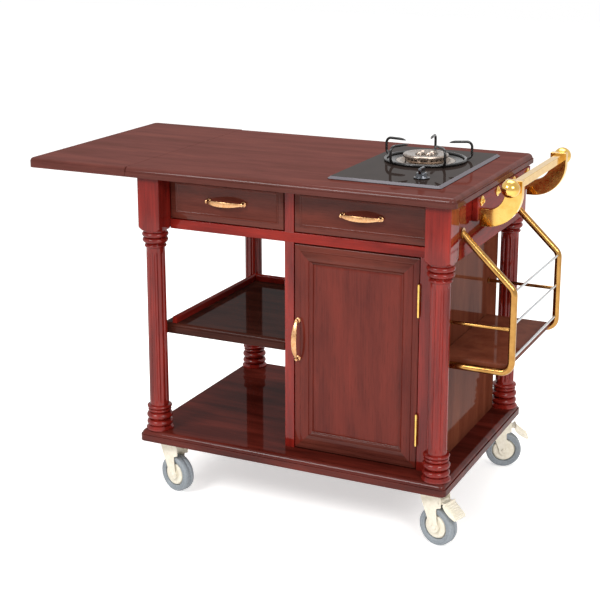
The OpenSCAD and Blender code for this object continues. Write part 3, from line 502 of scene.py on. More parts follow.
def fluteTree():  # cuts round flutes along Z into a turning, which run out softly at both ends
    tree, given = newTree("fluteShaft", {
        "Flutes": "Int", "Flute radius": "Float", "Flute centre": "Float", "From": "Float", "To": "Float",
        "Run": "Float",
    })
    position = addNode(tree, "GeometryNodeInputPosition")
    at = addNode(tree, "ShaderNodeSeparateXYZ", {"Vector": position}).outputs
    value = {
        "x": at["X"], "y": at["Y"], "z": at["Z"], "count": given["Flutes"], "round": given["Flute radius"],
        "centre": given["Flute centre"], "from": given["From"], "to": given["To"], "run": given["Run"],
    }
    # each row is a result's name, the sum that gives it, and the two values that go in
    for result, operation, first, second in [
        ("xx", "MULTIPLY", "x", "x"),
        ("yy", "MULTIPLY", "y", "y"),
        ("squares", "ADD", "xx", "yy"),
        ("radius", "SQRT", "squares", 0.0),
        ("angle", "ARCTAN2", "y", "x"),
        ("turns", "DIVIDE", "angle", math.tau),
        ("flutesAround", "MULTIPLY", "turns", "count"),
        ("aboveZero", "ADD", "flutesAround", 64.0),
        ("fraction", "FRACT", "aboveZero", 0.0),
        ("phase", "SUBTRACT", "fraction", 0.5),
        ("girth", "MULTIPLY", "radius", math.tau),
        ("pitch", "DIVIDE", "girth", "count"),
        ("away", "MULTIPLY", "phase", "pitch"),
        ("roundSquared", "MULTIPLY", "round", "round"),
        ("awaySquared", "MULTIPLY", "away", "away"),
        ("room", "SUBTRACT", "roundSquared", "awaySquared"),
        ("roomLeft", "MAXIMUM", "room", 0.0),
        ("chord", "SQRT", "roomLeft", 0.0),
        ("bite", "SUBTRACT", "chord", "centre"),
        ("depth", "MAXIMUM", "bite", 0.0),
        ("overStart", "SUBTRACT", "z", "from"),
        ("rise", "DIVIDE", "overStart", "run"),
        ("underEnd", "SUBTRACT", "to", "z"),
        ("fall", "DIVIDE", "underEnd", "run"),
        ("nearer", "MINIMUM", "rise", "fall"),
        ("notBelow", "MAXIMUM", "nearer", 0.0),
        ("mask", "MINIMUM", "notBelow", 1.0),
        ("cut", "MULTIPLY", "depth", "mask"),
        ("cutShare", "DIVIDE", "cut", "radius"),
        ("share", "SUBTRACT", 1.0, "cutShare"),
        ("newX", "MULTIPLY", "x", "share"),
        ("newY", "MULTIPLY", "y", "share"),
    ]:
        value[result] = addNode(tree, "ShaderNodeMath", {
            0: value.get(first, first), 1: value.get(second, second),
        }, operation=operation)
    moved = addNode(tree, "ShaderNodeCombineXYZ", {"X": value["newX"], "Y": value["newY"], "Z": value["z"]})
    shaped = addNode(tree, "GeometryNodeSetPosition", {"Geometry": given["Geometry"], "Position": moved})
    return endTree(tree, shaped, redUpright)


flutes = fluteTree()
for corner, centre in postShape["centres"].items():
    bm = bmesh.new()
    steps = postShape["steps"]
    turning = turnedRings(bm, postProfile(), steps)
    angles = [math.tau * i / steps for i in range(steps)]
    for z, limit in postShape["blockRings"]:
        share = 1 if z < postShape["top"] else postShape["topEase"]
        reaches = [share * squareReach(a, limit) for a in angles]
        turning.append(ring(bm, [(r * math.cos(a), r * math.sin(a), z) for r, a in zip(reaches, angles)]))
    loft(bm, turning)
    bmesh.ops.remove_doubles(bm, verts=bm.verts, dist=0.005)
    bmesh.ops.recalc_face_normals(bm, faces=bm.faces)
    turned = grow("turning_" + corner, bm, flutes, {
        "Flutes": postShape["flutes"], "Flute radius": postShape["fluteRadius"],
        "Flute centre": postShape["fluteCentre"], "From": float(postShape["fluteFrom"]),
        "To": float(postShape["fluteTo"]), "Run": float(postShape["fluteRun"]),
    })
    toPlace(turned, shift(*centre, 0))
    finishMesh("turned_post_" + corner, turned, redUpright, "cart", ["post_" + corner], sharp=32)
print("posts turned")


# Face frame, with softly rounded front edges
faceFrame = {
    "stile": ((424, 450), (72, 92), (178, 874.8)), "jamb": ((790, 822), (72.3, 92), (178, 732.2)),
    "rail": ((90, 820), (71.6, 92), (732, 758)), "bevel": 1.6,
}
for name, stain, boards in (
    ("face_uprights", redUpright, ("stile", "jamb")), ("face_rail", redLong, ("rail",)),
):
    spans = [faceFrame[board] for board in boards]
    boxPiece(name, spans, stain, "face_frame", faceFrame["bevel"])


# Drawer fronts: a moulded border round a sunk field
drawerFront = {
    "left": (93, 421), "right": (453, 817), "z": (761, 872), "front": 72, "thick": 18,
    # (inset from the edge, depth from the front)
    "mould": [(0, 1.2), (0.4, 0.4), (1.2, 0), (14, 0), (14.6, -1.0), (15.8, -1.6), (17.2, -1.2), (18.2, -0.1),
              (20.5, 1.1), (23.5, 1.6)],
}
for side in ("left", "right"):
    bm = bmesh.new()
    sections = [(0, drawerFront["thick"])] + drawerFront["mould"]
    steppedBoard(bm, drawerFront[side], drawerFront["front"], drawerFront["z"], sections)
    body = "drawer_" + side
    finishPiece(body + "_moulded_front", bm, frontLong, body, [body + "_front"], sharp=28)
print("drawer fronts moulded")


# Door: frame with a bead and a moulding that falls to the panel
doorShape = {
    "x": (453, 788.5), "z": (182, 728), "front": 72, "thick": 22, "member": 48,
    # (inset from the edge, depth from the front) over the bead, then over the fall to the panel
    "bead": [(0, 1.2), (0.4, 0.4), (1.2, 0), (15.6, 0), (15.8, -0.5), (16.6, -1.6), (18.2, -2.2), (38, -2.2)],
    "fall": [(38.8, -1.9), (39.4, -1), (39.8, 0.6), (43.6, 4.2), (44.6, 4.6), (46.4, 4.9), (47.6, 5.8),
             (48, 7)],
    "panel": [(0, 17), (0, 9), (6, 8.4), (8, 7.6), (11, 7.0), (14, 7.0)], "tongue": 6,
}


def doorMember(name, ends, material):  # mitred at both ends, which are corners as (0 or 1 in x, 0 or 1 in z)
    bm = bmesh.new()
    d = doorShape
    section = [(0, d["thick"])] + d["bead"] + d["fall"] + [(d["member"], d["thick"])]
    rings = [
        ring(bm, [
            (d["x"][i] + inset * (1 - 2 * i), d["front"] + out, d["z"][k] + inset * (1 - 2 * k))
            for i, k in ends
        ])
        for inset, out in section
    ]
    for a, b in zip(rings, rings[1:] + rings[:1]):
        bridge(bm, a, b, closed=False)
    for k in (0, 1):
        bm.faces.new([r[k] for r in rings])
    finishPiece(name, bm, material, "door", ["door_frame"], sharp=28)


doorMember("door_stile_latch", [(0, 0), (0, 1)], frontUpright)
doorMember("door_stile_hinge", [(1, 1), (1, 0)], frontUpright)
doorMember("door_rail_top", [(0, 1), (1, 1)], frontLong)
doorMember("door_rail_foot", [(1, 0), (0, 0)], frontLong)
bm = bmesh.new()
inset = doorShape["member"] - doorShape["tongue"]
panelX, panelZ = [(doorShape[way][0] + inset, doorShape[way][1] - inset) for way in ("x", "z")]
steppedBoard(bm, panelX, doorShape["front"], panelZ, doorShape["panel"])
finishPiece("door_sunk_panel", bm, frontUpright, "door", ["door_panel"], sharp=25)
print("door joined")


# Bow pulls: two round feet and a leaf-shaped grip
pullShape = {
    "foot": 51, "rise": 12, "bow": 15, "leafHalf": 56.5, "leafTall": 7.3, "tipTall": 1.2, "leafThick": 3.4,
    "steps": 32, "around": 20,
    "footProfile": [(7.4, 1), (6.6, 1.9), (4.6, 2.6), (3.4, 4), (3.1, 7), (3.6, 10), (4.2, 13), (0, 15.5)],
}


def bowPull(name, turn, body, node, seat=0.0):  # seat is how far the feet reach back into a sunk field
    bm = bmesh.new()
    s = pullShape
    for side in (-1, 1):
        place = turn @ shift(side * s["foot"], 0, 0) @ spin(90, "X")
        lathe(bm, [(0, -seat), (s["footProfile"][0][0], -seat)] + s["footProfile"], 32, place)
    bowRadius = (s["foot"] ** 2 + s["bow"] ** 2) / (2 * s["bow"])
    rings = []
    for k in range(s["steps"] + 1):
        t = -1 + 2 * k / s["steps"]
        run = t * s["leafHalf"]
        out = s["rise"] + s["bow"] - (bowRadius - math.sqrt(bowRadius ** 2 - run ** 2))
        lean = math.asin(run / bowRadius)
        tall = s["tipTall"] + (s["leafTall"] - s["tipTall"]) * max(0.0, 1 - abs(t) ** 2.4) ** 0.8
        thick = s["leafThick"] * (0.55 + 0.45 * (1 - t * t))
        points = []
        for j in range(s["around"]):
            a = math.tau * j / s["around"]
            # flatter front and back, round rims
            push = out + thick / 2 * math.copysign(abs(math.sin(a)) ** 0.6, math.sin(a))
            points.append((run + (push - out) * math.sin(lean), -push, tall * math.cos(a)))
        rings.append(ring(bm, points, turn))
    loft(bm, rings)
    finishPiece(name, bm, castBrass, body, [node], sharp=50)


front = doorShape["front"]
sunk = drawerFront["mould"][-1][1]
for name, place, body, node, seat in (
    ("bow_grip_left", shift(257, front, 816.5), "drawer_left", "drawer_left_pull", sunk),
    ("bow_grip_right", shift(635, front, 816.5), "drawer_right", "drawer_right_pull", sunk),
    ("bow_grip_door", shift(462, front, 478) @ spin(90, "Y"), "door", "door_pull", 0.0),
):
    bowPull(name, place, body, node, seat)
print("pulls cast")


# Push bar: quarter-ring brackets, square bar, ball ends, and rosettes on a wooden rail
barShape = {
    "bar": ((973, 993), (150, 632), (893, 913)),
    "brackets": (180, 582), "bracketWide": 20, "centre": (916.5, 886), "inner": 45, "outer": 88,
    "root": 900, "tip": 918,
    "balls": {156: -1, 626: 1}, "ballAxis": (983, 903), "ball": 23,
    "globe": range(-54, 90, 6),  # degrees up from the ball's middle, from the collar to the pole
    "collar": [(0, -24.5), (15.5, -24.5), (16.5, -23.5), (16.5, -21.5), (15.5, -20.5), (14.2, -19.6)],
    "rail": ((884, 900), (168, 614), (811, 872)),
    "rosettes": (197, 323, 459, 585), "rosetteHeight": 858,
    "rosette": [(0, -1), (13, -1), (13, 1.2), (12.2, 2.2), (10.6, 2.6), (9.8, 1.9), (8, 2.4), (6.5, 4.6),
                (4, 7.2), (0, 8.5)],
}


def bracket(bm, y):
    s = barShape
    cx, cz = s["centre"]
    outline = [(s["root"], cz - s["outer"]), (cx, cz - s["outer"])]
    outline += arc(s["centre"], s["outer"], -90, 0, 24)
    outline += [(cx + s["outer"], s["tip"]), (cx + s["inner"], s["tip"])]
    outline += arc(s["centre"], s["inner"], 0, -90, 18)
    outline += [(s["root"], cz - s["inner"])]
    loft(bm, [ring(bm, [(x, side, z) for x, z in outline]) for side in (y, y + s["bracketWide"])])


bm = bmesh.new()
s = barShape
for y in s["brackets"]:
    bracket(bm, y)
finishPiece("curved_brackets", bm, brass, "cart", ["handle_brackets"], bevel=1.3, sharp=30)
boxPiece("square_bar", [s["bar"]], brass, "handle_bar", 1.5)
bm = bmesh.new()
for y, way in s["balls"].items():
    x, z = s["ballAxis"]
    r = s["ball"]
    globe = [(r * math.cos(math.radians(a)), r * math.sin(math.radians(a))) for a in s["globe"]]
    lathe(bm, s["collar"] + globe + [(0, r)], 64, shift(x, y, z) @ spin(-90 * way, "X"))
finishPiece("ball_ends", bm, brass, "cart", ["handle_balls"], sharp=35)
boxPiece("wooden_rail", [s["rail"]], redDeep, "handle_rail", 2.5)
bm = bmesh.new()
for y in s["rosettes"]:
    lathe(bm, s["rosette"], 40, shift(s["root"], y, s["rosetteHeight"]) @ spin(90, "Y"))
finishPiece("turned_rosettes", bm, brass, "cart", ["handle_brackets"], sharp=30)
print("push bar made")


# Burner: bowl, slotted head, cap, black dish, and a wire pan support. Profiles are (radius, height).
burnerShape = {
    "place": (681, 389.5, 0),
    "head": [(0, 843.5), (22, 843.5), (22, 904), (30, 904), (48, 904), (51.4, 905.4), (52, 907), (52, 911.4),
             (44.5, 911.6), (44.5, 916.4), (40, 917), (24, 917), (22, 915.5), (21.5, 911.2), (0, 911.2)],
    "slots": 24, "toothRing": 48.2, "tooth": (7.4, 9.8, 5.2), "toothHeight": 913.9,
    "igniterOut": 56, "igniter": [(0, 898.3), (1.6, 898.3), (2, 899), (2, 912.4), (1.2, 914), (0, 914.3)],
    "bowl": [(22, 898), (57, 898), (60, 898.6), (66.8, 906.2), (68, 907), (77, 907), (78, 907.4), (78, 907.9),
             (77, 908.3), (67.6, 908.3), (66, 907.4), (59.6, 899.9), (57, 899.2), (22, 899.2)],
    "cap": [(0, 913.3), (21, 913.3), (21, 917.3), (57.5, 917.3), (59.4, 918), (60, 919.6), (60, 922),
            (59.2, 924.2), (57, 925.7), (53.5, 926.2), (44, 926.3), (42.5, 925.6), (40, 925.5), (33, 925.4),
            (31, 924.9), (0, 924.9)],
    "lobes": 4, "lobeOut": 18,
    "lobe": [(11, 924), (10.9, 926.4), (10, 928.2), (8.4, 928.8), (6.8, 928.2), (5.4, 926.6), (3, 925.8),
             (0, 925.6)],
    "button": [(6, 924), (5.8, 927.2), (4.8, 928.6), (2.6, 928.8), (0, 928.2)],
    "dish": [(79, 907), (99, 907), (100, 907.6), (99.4, 908.8), (97.6, 909.2), (95.4, 908.4), (84, 907.8),
             (80, 908.1), (79, 907.8)],
}
burnerPlace = shift(*burnerShape["place"])


def toothTree():  # a ring of identical blocks round the local Z
    tree, given = newTree("toothRing", {
        "Count": "Int", "Radius": "Float", "Size": "Vector", "Height": "Float",
    })
    circle = addNode(tree, "GeometryNodeMeshCircle", {"Vertices": given["Count"], "Radius": given["Radius"]})
    tooth = addNode(tree, "GeometryNodeMeshCube", {"Size": given["Size"]})
    position = addNode(tree, "GeometryNodeInputPosition")
    at = addNode(tree, "ShaderNodeSeparateXYZ", {"Vector": position}).outputs
    angle = addNode(tree, "ShaderNodeMath", {0: at["Y"], 1: at["X"]}, operation="ARCTAN2")
    turn = addNode(tree, "ShaderNodeCombineXYZ", {"Z": angle})
    teeth = addNode(tree, "GeometryNodeInstanceOnPoints", {
        "Points": circle, "Instance": tooth, "Rotation": turn,
    })
    lift = addNode(tree, "ShaderNodeCombineXYZ", {"Z": given["Height"]})
    lifted = addNode(tree, "GeometryNodeTransform", {"Geometry": teeth, "Translation": lift})
    joined = addNode(tree, "GeometryNodeJoinGeometry", {"Geometry": lifted})
    feed(tree, joined, {"Geometry": given["Geometry"]})
    return endTree(tree, joined, burnerSteel)


bm = bmesh.new()
s = burnerShape
lathe(bm, s["head"], 96)
head = grow("burnerHead", bm, toothTree(), {
    "Count": s["slots"], "Radius": s["toothRing"], "Size": s["tooth"], "Height": s["toothHeight"],
})
toPlace(head, burnerPlace)
finishMesh("slotted_burner_head", head, burnerSteel, "cart", ["burner_body"], sharp=30)
igniterPlace = burnerPlace @ shift(-s["igniterOut"], 0, 0)
lathedPiece("igniter_pin", s["igniter"], 20, igniterPlace, chromePaintedDark, "cart", [], 40, looped=False)
lathedPiece("pressed_bowl", s["bowl"], 96, burnerPlace, bowlSteelPaintedReflection, "cart", ["drip_bowl"], 40)
bm = bmesh.new()
lathe(bm, s["cap"], 96, burnerPlace)
for k in range(s["lobes"]):
    lathe(bm, s["lobe"], 40, burnerPlace @ spin(45 + 360 * k / s["lobes"], "Z") @ shift(s["lobeOut"], 0, 0))
lathe(bm, s["button"], 32, burnerPlace)
finishPiece("lobed_cap", bm, burnerSteel, "cap", ["burner_cap"], sharp=35)

# Pan support: a wire ring with prongs that rise and turn inwards over the flame
supportShape = {
    "ring": 105, "wire": 4, "ringHeight": 911.3, "ringSteps": 96, "around": 16,
    "prong": 3.5, "prongs": 5, "turn": 26, "top": 956, "reach": 121, "bend": 14,
    # the last stretch is forged thinner and dips a little
    "tip": 61.5, "taper": 18, "tipDip": 2.2, "tipThin": 0.75, "tipSteps": 9,
}
bm = bmesh.new()
s = supportShape
up = Vector((0, 0, 1))
wireAngles = [math.tau * j / s["around"] for j in range(s["around"])]
rings = []
for k in range(s["ringSteps"]):
    outward = Vector((math.cos(math.tau * k / s["ringSteps"]), math.sin(math.tau * k / s["ringSteps"]), 0))
    point = outward * s["ring"] + up * s["ringHeight"]
    rings.append(ring(bm, [
        point + s["wire"] * (outward * math.cos(a) + up * math.sin(a)) for a in wireAngles
    ], burnerPlace))
for low, high in zip(rings, rings[1:] + rings[:1]):
    bridge(bm, low, high)
for k in range(s["prongs"]):
    aim = burnerPlace @ spin(s["turn"] + 360 * k / s["prongs"], "Z")
    path = roundedPath([
        (s["ring"], 0, s["ringHeight"]), (s["reach"], 0, s["ringHeight"]), (s["reach"], 0, s["top"]),
        (s["tip"] + s["taper"], 0, s["top"]),
    ], s["bend"], 14)
    radii = [s["prong"]] * len(path)
    for j in range(1, s["tipSteps"] + 1):
        share = j / s["tipSteps"]
        path.append(Vector((s["tip"] + s["taper"] * (1 - share), 0, s["top"] - s["tipDip"] * share ** 2)))
        radii.append(s["prong"] * (1 - s["tipThin"] * share ** 2.5))
    tube(bm, [aim @ p for p in path], radii, s["around"])
finishPiece("wire_pan_support", bm, enamelWire, "support", ["pan_support"], sharp=50)
lathedPiece("drip_ring", burnerShape["dish"], 96, burnerPlace, enamelWire, "cart", [], 40)

# Knob: chromed dial with a grip bar across it
knobShape = {
    "place": (754, 164.5, 907.5),
    "dial": [(0, -28), (4, -28), (4, 0), (19.2, 0), (20, 0.8), (20, 2.2), (19, 3.1), (17, 3.4), (15.6, 4.6),
             (14.4, 9), (13.8, 12.4), (12.6, 13.8), (10, 14.4), (0, 14.6)],
    "grip": [(-3.6, 12), (3.6, 12), (4, 20), (3.4, 26), (2, 27), (-2, 27), (-3.4, 26), (-4, 20)],
    "gripFoot": 12,
    # (along, fullness)
    "gripEnds": [(-16, 0.45), (-15, 0.8), (-12, 1), (0, 1), (12, 1), (15, 0.8), (16, 0.45)],
}
knobPlace = shift(*knobShape["place"])
foot = knobShape["gripFoot"]
bm = bmesh.new()
lathe(bm, knobShape["dial"], 72, knobPlace)
loft(bm, [
    ring(bm, [
        (x * (0.6 + 0.4 * full), y, foot + (z - foot) * (0.7 + 0.3 * full)) for x, z in knobShape["grip"]
    ], knobPlace)
    for y, full in knobShape["gripEnds"]
])
finishPiece("chrome_dial", bm, chromePaintedDark, "knob", ["hob_knob"], bevel=0.5, sharp=30)
print("burner assembled")


# Casters, built with the swivel on the local Z and the wheel trailing along +X
casterShape = {
    # corner: (x, y, turn in degrees)
    "places": {"front_left": (76, 66, -17), "front_right": (830, 66, -17), "rear_left": (76, 589, -17),
               "rear_right": (830, 589, 24)},
    "trail": 30, "wheel": 50, "crown": 136.5, "crownEnd": 50, "crownFlat": (-10, 46), "sheet": 4,
    "legIn": 18, "leg": 3, "cupOut": 20, "kingpin": 5.1, "axle": 4, "brakePin": 3,
    "axleCap": [(0, -0.5), (7, -0.5), (7, 1), (6, 2.2), (3, 2.9), (0, 3)],  # heights over the leg's face
    # half sections of (radius, height) from one face of the wheel to its middle
    "hub": [(4.1, 16.5), (10, 16.5), (11, 15.8), (11, 15), (13, 13.8), (24, 14.6), (28, 14.2), (29.8, 13),
            (30.6, 11), (30.8, 5), (33.2, 5), (33.2, 3)],
    "tyre": [(33, 4), (33.2, 12.6), (34, 14.4), (35.4, 15), (37.4, 15.3), (38, 14.6), (38.8, 14.6),
             (39.4, 15.5), (42, 15.9), (42.6, 15.2), (43.4, 15.2), (44, 16), (46.4, 15.6), (48.4, 13.8),
             (49.6, 11), (50, 8), (50, 3.2), (49.4, 2.4), (48.1, 2.1)],
}
pedalShape = {
    "place": (44, 0, 118.5), "neck": 14, "slope": 38,
    "barrel": [(3.1, -17), (5.2, -17), (6, -16.2), (6, 16.2), (5.2, 17), (3.1, 17)],
    "ears": (-17, 14), "ear": 3, "earX": (4, 18), "earZ": (-1, 3), "web": ((5.5, 17), (-14, 14), (0.5, 3)),
    # the tread is a shallow tray turned upside down: (along, half width, lowest edge of its walls, top)
    "tray": [(0, 22, 0, 4), (0.8, 22.7, -1.5, 4), (3, 23, -3.5, 4), (14, 23, -6.5, 4), (30, 23, -6.5, 4),
             (44, 22.6, -4, 4), (48.6, 21.4, -2.4, 3.2), (50, 19.5, -0.5, 1.6)],
    "trayWall": 1.8, "trayFloor": 0.6,
    # the toe ridge across the tread: its section as (along, height), and (across, share of its height)
    "ridge": [(0, 1), (0, 7.4), (0.8, 8.7), (2, 9), (3.2, 8.6), (4, 7), (4.6, 4.6), (6, 3.6)],
    "ridgeFoot": 3.8,
    "ridgeEnds": [(-22.6, 0.4), (-21.4, 0.85), (-19, 1), (19, 1), (21.4, 0.85), (22.6, 0.4)],
    "ribs": 6, "ribGap": 6.5, "rib": 1.6, "ribLength": 38.0, "ribStart": (11.0, 0.0, 4.0),
}


def legOutline():  # wide under the swivel, with a hooked notch over the wheel and a narrow foot at the axle
    t, w, e = casterShape["trail"], casterShape["wheel"], casterShape["crownEnd"]
    points = [(-14, 132.5), (-12.5, 135.5), (-10, 136.5), (e - 4, 136.5), (e - 1.2, 135.3), (e, 132.5)]
    points += [(e, 110)]
    points += arc((e - 3, 109), 3, 0, -60, 4)
    points += arc((t + 11, 98), 5, 110, 180, 6)
    points += [(t + 6.5, 88), (t + 8, 70)]
    points += arc((t, w), 14, 48, -190, 24)
    return points + [(12.5, 62), (6, 78), (-2, 96), (-9, 112), (-12.5, 122)]


def ribTree():  # a row of round ribs along X
    tree, given = newTree("ribRow", {
        "Count": "Int", "Gap": "Float", "Radius": "Float", "Length": "Float", "Start": "Vector",
    })
    step = addNode(tree, "ShaderNodeCombineXYZ", {"X": given["Gap"]})
    line = addNode(tree, "GeometryNodeMeshLine", {
        "Count": given["Count"], "Start Location": given["Start"], "Offset": step,
    }, mode="OFFSET")
    rib = addNode(tree, "GeometryNodeMeshCylinder", {
        "Vertices": 16, "Radius": given["Radius"], "Depth": given["Length"],
    })
    rows = addNode(tree, "GeometryNodeInstanceOnPoints", {
        "Points": line, "Instance": rib, "Rotation": (math.radians(90), 0.0, 0.0),
    })
    joined = addNode(tree, "GeometryNodeJoinGeometry", {"Geometry": rows})
    feed(tree, joined, {"Geometry": given["Geometry"]})
    return endTree(tree, joined, zinc)


ribs = ribTree()
onSide = spin(90, "X")  # lays a turning's axis along Y


def bothHalves(half):
    return [(r, -h) for r, h in half] + [(r, h) for r, h in reversed(half)]


def brakePedal(corner, swivel):
    p = pedalShape
    bm = bmesh.new()
    lathe(bm, p["barrel"], 32, onSide, looped=True)
    for y in p["ears"]:
        box(bm, p["earX"], (y, y + p["ear"]), p["earZ"])
    box(bm, *p["web"])
    lean = shift(p["neck"], 0, 0) @ spin(p["slope"], "Y")
    rings = []
    for along, wide, wall, top in p["tray"]:
        inner = wide - p["trayWall"]
        half = [(0, top), (wide - 2.4, top), (wide - 0.7, top - 0.7), (wide, top - 2.2), (wide, wall)]
        half += [(inner, wall), (inner, p["trayFloor"]), (0, p["trayFloor"])]
        across = [(-y, z) for y, z in half] + [(y, z) for y, z in reversed(half[1:-1])]
        rings.append(ring(bm, [(along, y, z) for y, z in across], lean))
    loft(bm, rings)
    foot = p["ridgeFoot"]
    loft(bm, [
        ring(bm, [(along, y, z if z < foot else foot + (z - foot) * tall) for along, z in p["ridge"]], lean)
        for y, tall in p["ridgeEnds"]
    ])
    # the ribs are set in a row on the level tread, and the whole pedal then leans
    bmesh.ops.transform(bm, matrix=lean.inverted(), verts=bm.verts)
    bmesh.ops.recalc_face_normals(bm, faces=bm.faces)
    pedal = grow("pedal_" + corner, bm, ribs, {
        "Count": p["ribs"], "Gap": p["ribGap"], "Radius": p["rib"], "Length": p["ribLength"],
        "Start": p["ribStart"],
    })
    toPlace(pedal, swivel @ shift(*p["place"]) @ lean)
    body, node = "pedal_" + corner, "brake_" + corner
    finishMesh("ribbed_pedal_" + corner, pedal, zinc, body, [node], bevel=0.3, sharp=30)


for corner, (cx, cy, turn) in casterShape["places"].items():
    s = casterShape
    swivel = shift(cx, cy, 0) @ spin(turn, "Z")
    axle = swivel @ shift(s["trail"], 0, s["wheel"]) @ onSide
    out = s["legIn"] + s["leg"]
    underside = s["crown"] - s["sheet"]
    braked = corner.endswith("right")
    bm = bmesh.new()
    for y in (-out, s["legIn"]):
        loft(bm, [ring(bm, [(x, side, z) for x, z in legOutline()], swivel) for side in (y, y + s["leg"])])
    box(bm, s["crownFlat"], (-out, out), (underside, s["crown"]), swivel)
    cup = [(s["kingpin"], underside), (s["cupOut"], underside), (s["cupOut"], s["crown"])]
    lathe(bm, cup + [(s["kingpin"], s["crown"])], 48, swivel, looped=True)
    lathe(bm, [(0, -out), (s["axle"], -out), (s["axle"], out), (0, out)], 24, axle)
    for side in (-1, 1):
        lathe(bm, [(r, out + h) for r, h in s["axleCap"]], 32, axle @ Matrix.Scale(side, 4, (0, 0, 1)))
    if braked:
        pin = swivel @ shift(*pedalShape["place"]) @ onSide
        lathe(bm, [(0, -out), (s["brakePin"], -out), (s["brakePin"], out), (0, out)], 24, pin)
    body, wheel = "caster_" + corner, "wheel_" + corner
    finishPiece("pressed_fork_" + corner, bm, zinc, body, ["fork_" + corner], bevel=0.8, sharp=30)
    for node, name, steps, material, slotName, sharp in (
        ("hub", "dished_hub_", 64, zinc, "zinc", 35),
        ("tyre", "grooved_tyre_", 96, greyRubber, "grey_rubber", 45),
    ):
        nodes = [node + "_" + corner]
        lathedPiece(name + corner, bothHalves(s[node]), steps, axle, material, wheel, nodes, sharp)
    if braked:
        brakePedal(corner, swivel)
print("casters made")


# Screws in the plates and hinges, each turned by its own random angle
screwShape = {
    "radius": 3.4, "rise": 0.9, "plateReach": 44, "plateUnder": 142.6,
    "hinges": (85, 327.5, 570), "hingeStep": 20, "hingeUnder": 873.2, "fixedSide": 14, "movingSide": -14,
}


def screwTree():
    tree, given = newTree("screwRow", {"Screw": "Object", "Seed": "Int"})
    screw = addNode(tree, "GeometryNodeObjectInfo", {"Object": given["Screw"]})
    # sockets 0 and 1 are the vector's lowest and highest values
    turn = addNode(tree, "FunctionNodeRandomValue", {
        0: (0.0, 0.0, 0.0), 1: (0.0, 0.0, math.pi), "Seed": given["Seed"],
    }, data_type="FLOAT_VECTOR")
    rows = addNode(tree, "GeometryNodeInstanceOnPoints", {
        "Points": given["Geometry"], "Instance": screw.outputs["Geometry"], "Rotation": turn,
    })
    return endTree(tree, rows, stainless)


def screwHead():  # pan head with a round recess, pointing up, round the local Z
    bm = bmesh.new()
    r, h = screwShape["radius"], screwShape["rise"]
    lathe(bm, [
        (0, -0.6), (r, -0.6), (r, 0), (r * 0.93, h * 0.5), (r * 0.7, h * 0.9), (r * 0.45, h),
        (r * 0.3, h * 0.3), (0, h * 0.15),
    ], 16)
    return bpy.data.objects.new("screwHead", meshOf("screwHead", bm))


screws = screwTree()
oneScrew = screwHead()


def screwSet(name, spots, turn, body, material, seed):  # spots are in the plane that turn lays down
    bm = bmesh.new()
    for spot in spots:
        bm.verts.new(spot)
    mesh = grow(name, bm, screws, {"Screw": oneScrew, "Seed": seed})
    finishMesh(name, toPlace(mesh, turn), material, body, [], sharp=40)


down = spin(180, "X")
s = screwShape
plateSpots = [
    (cx + x, -(cy + y), -s["plateUnder"])
    for cx, cy, _ in casterShape["places"].values() for x, y in arc((0, 0), s["plateReach"], 45, 315, 3)
]
screwSet("plate_screws", plateSpots, down, "cart", stainless, 3)
for name, x, body, seed in (
    ("leaf_hinge_screws", s["fixedSide"], "cart", 5),
    ("leaf_hinge_screws_moving", s["movingSide"], "leaf", 7),
):
    spots = [(x, -(y + k * s["hingeStep"]), -s["hingeUnder"]) for y in s["hinges"] for k in (-1, 0, 1)]
    screwSet(name, spots, down, body, brass, seed)
bpy.data.objects.remove(oneScrew)
print("screws driven")


# CAD nodes that keep their shape and take a finish
carried = {
    topLong: ["worktop", "drop_leaf"],
    baseLong: ["base_board"],
    redLong: ["rear_apron"],
    shelfLong: ["middle_shelf"],
    redDeep: ["left_apron", "right_apron", "shelf_gallery"],
    sideUpright: ["side_panel", "partition", "cabinet_back", "rack_shelf"],
    plyAndPine: ["drawer_deck", "drawer_left_box", "drawer_right_box"],
    brass: ["leaf_hinge_fixed", "leaf_hinge_moving", "door_hinge_fixed", "door_hinge_moving", "gas_line"],
    shadedTubeBrass: ["rack_tubes"],
    stainless: ["rack_rods"],
    galvanised: ["hob_tray"],
    blackGlass: ["hob_glass"],
    zinc: ["caster_plates"],
}
for material, names in carried.items():
    for name in names:
        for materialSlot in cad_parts[name].material_slots:
            materialSlot.material = material


# Floor, lamps and background
studio = {
    "floor": "#f4f3f1", "back": "#ffffff", "ambient": 0.55, "floorGlow": 0.52, "floorReach": 14.0,
    "lamps": {
        # name: (place, aim, size in metres, watts)
        "key": ((-1.4, -3.2, 2.9), (0.1, 0, 0.5), 1.7, 88),
        "side": ((2.9, -2.3, 2.4), (0.3, 0, 0.5), 1.5, 66),
        "top": ((0.2, 0.8, 3.6), (0, 0, 0.8), 2.6, 80),
    },
    "lampDepth": 0.7,  # a lamp's second side as a share of its first
}


def seenDirectly(tree):  # 1 for what the camera sees, by itself or in metal, lacquer or glass
    rays = addNode(tree, "ShaderNodeLightPath").outputs
    seen = rays["Is Camera Ray"]
    for kind in ("Is Glossy Ray", "Is Transmission Ray"):
        seen = addNode(tree, "ShaderNodeMath", {0: seen, 1: rays[kind]}, operation="MAXIMUM")
    return seen


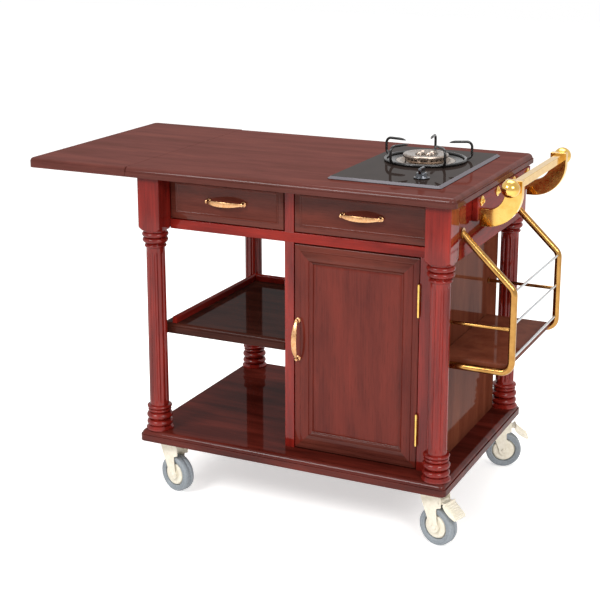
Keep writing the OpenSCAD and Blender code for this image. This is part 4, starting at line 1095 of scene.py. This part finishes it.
def stageFloor():
    bm = bmesh.new()
    reach = studio["floorReach"]
    ring(bm, [(-reach, -reach, 0), (reach, -reach, 0), (reach, reach, 0), (-reach, reach, 0)])
    bm.faces.new(bm.verts)
    floor = addObject("floor", meshOf("floor", bm))
    material, tree, shader = newMaterial("palePaperFloor", {
        "Base Color": linear(studio["floor"]), "Roughness": 0.9, "IOR": 1.3,
    })
    # seen directly the paper glows to white, and it still takes the object's shadow
    glow = addNode(tree, "ShaderNodeEmission", {
        "Color": linear(studio["back"]), "Strength": studio["floorGlow"],
    })
    lit = addNode(tree, "ShaderNodeAddShader", {0: shader, 1: glow})
    mixed = addNode(tree, "ShaderNodeMixShader", {0: seenDirectly(tree), 1: shader, 2: lit})
    feed(tree, tree.get_output_node("ALL"), {"Surface": mixed})
    floor.data.materials.append(material)


stageFloor()
for name, (place, aim, size, watts) in studio["lamps"].items():
    lamp = bpy.data.lights.new(name, "AREA")
    lamp.shape = "RECTANGLE"
    lamp.size = size
    lamp.size_y = size * studio["lampDepth"]
    lamp.energy = watts
    holder = addObject(name, lamp)
    holder.location = place
    holder.rotation_euler = (Vector(aim) - Vector(place)).to_track_quat("-Z", "Y").to_euler()

world = bpy.data.worlds.new("studio")
bpy.context.scene.world = world
world.use_nodes = True
tree = world.node_tree
tree.nodes.clear()
strength = addNode(tree, "ShaderNodeMapRange", {"Value": seenDirectly(tree), "To Min": studio["ambient"]})
background = addNode(tree, "ShaderNodeBackground", {"Color": linear(studio["back"]), "Strength": strength})
addNode(tree, "ShaderNodeOutputWorld", {"Surface": background})

# Camera: fitted to the photograph's corners and edges
cameraFit = {
    "place": (1.5474, -3.2833, 1.5864), "pitch": 75.844, "yaw": 25.451,
    "lens": 82.56, "sensor": 36, "rise": -0.1,
}
lens = bpy.data.cameras.new("camera")
lens.lens = cameraFit["lens"]
lens.sensor_width = cameraFit["sensor"]
lens.shift_y = cameraFit["rise"]
camera = addObject("camera", lens)
camera.location = cameraFit["place"]
camera.rotation_euler = (math.radians(cameraFit["pitch"]), 0, math.radians(cameraFit["yaw"]))
bpy.context.scene.camera = camera
bpy.context.scene.view_settings.view_transform = "Standard"

print("scene complete")
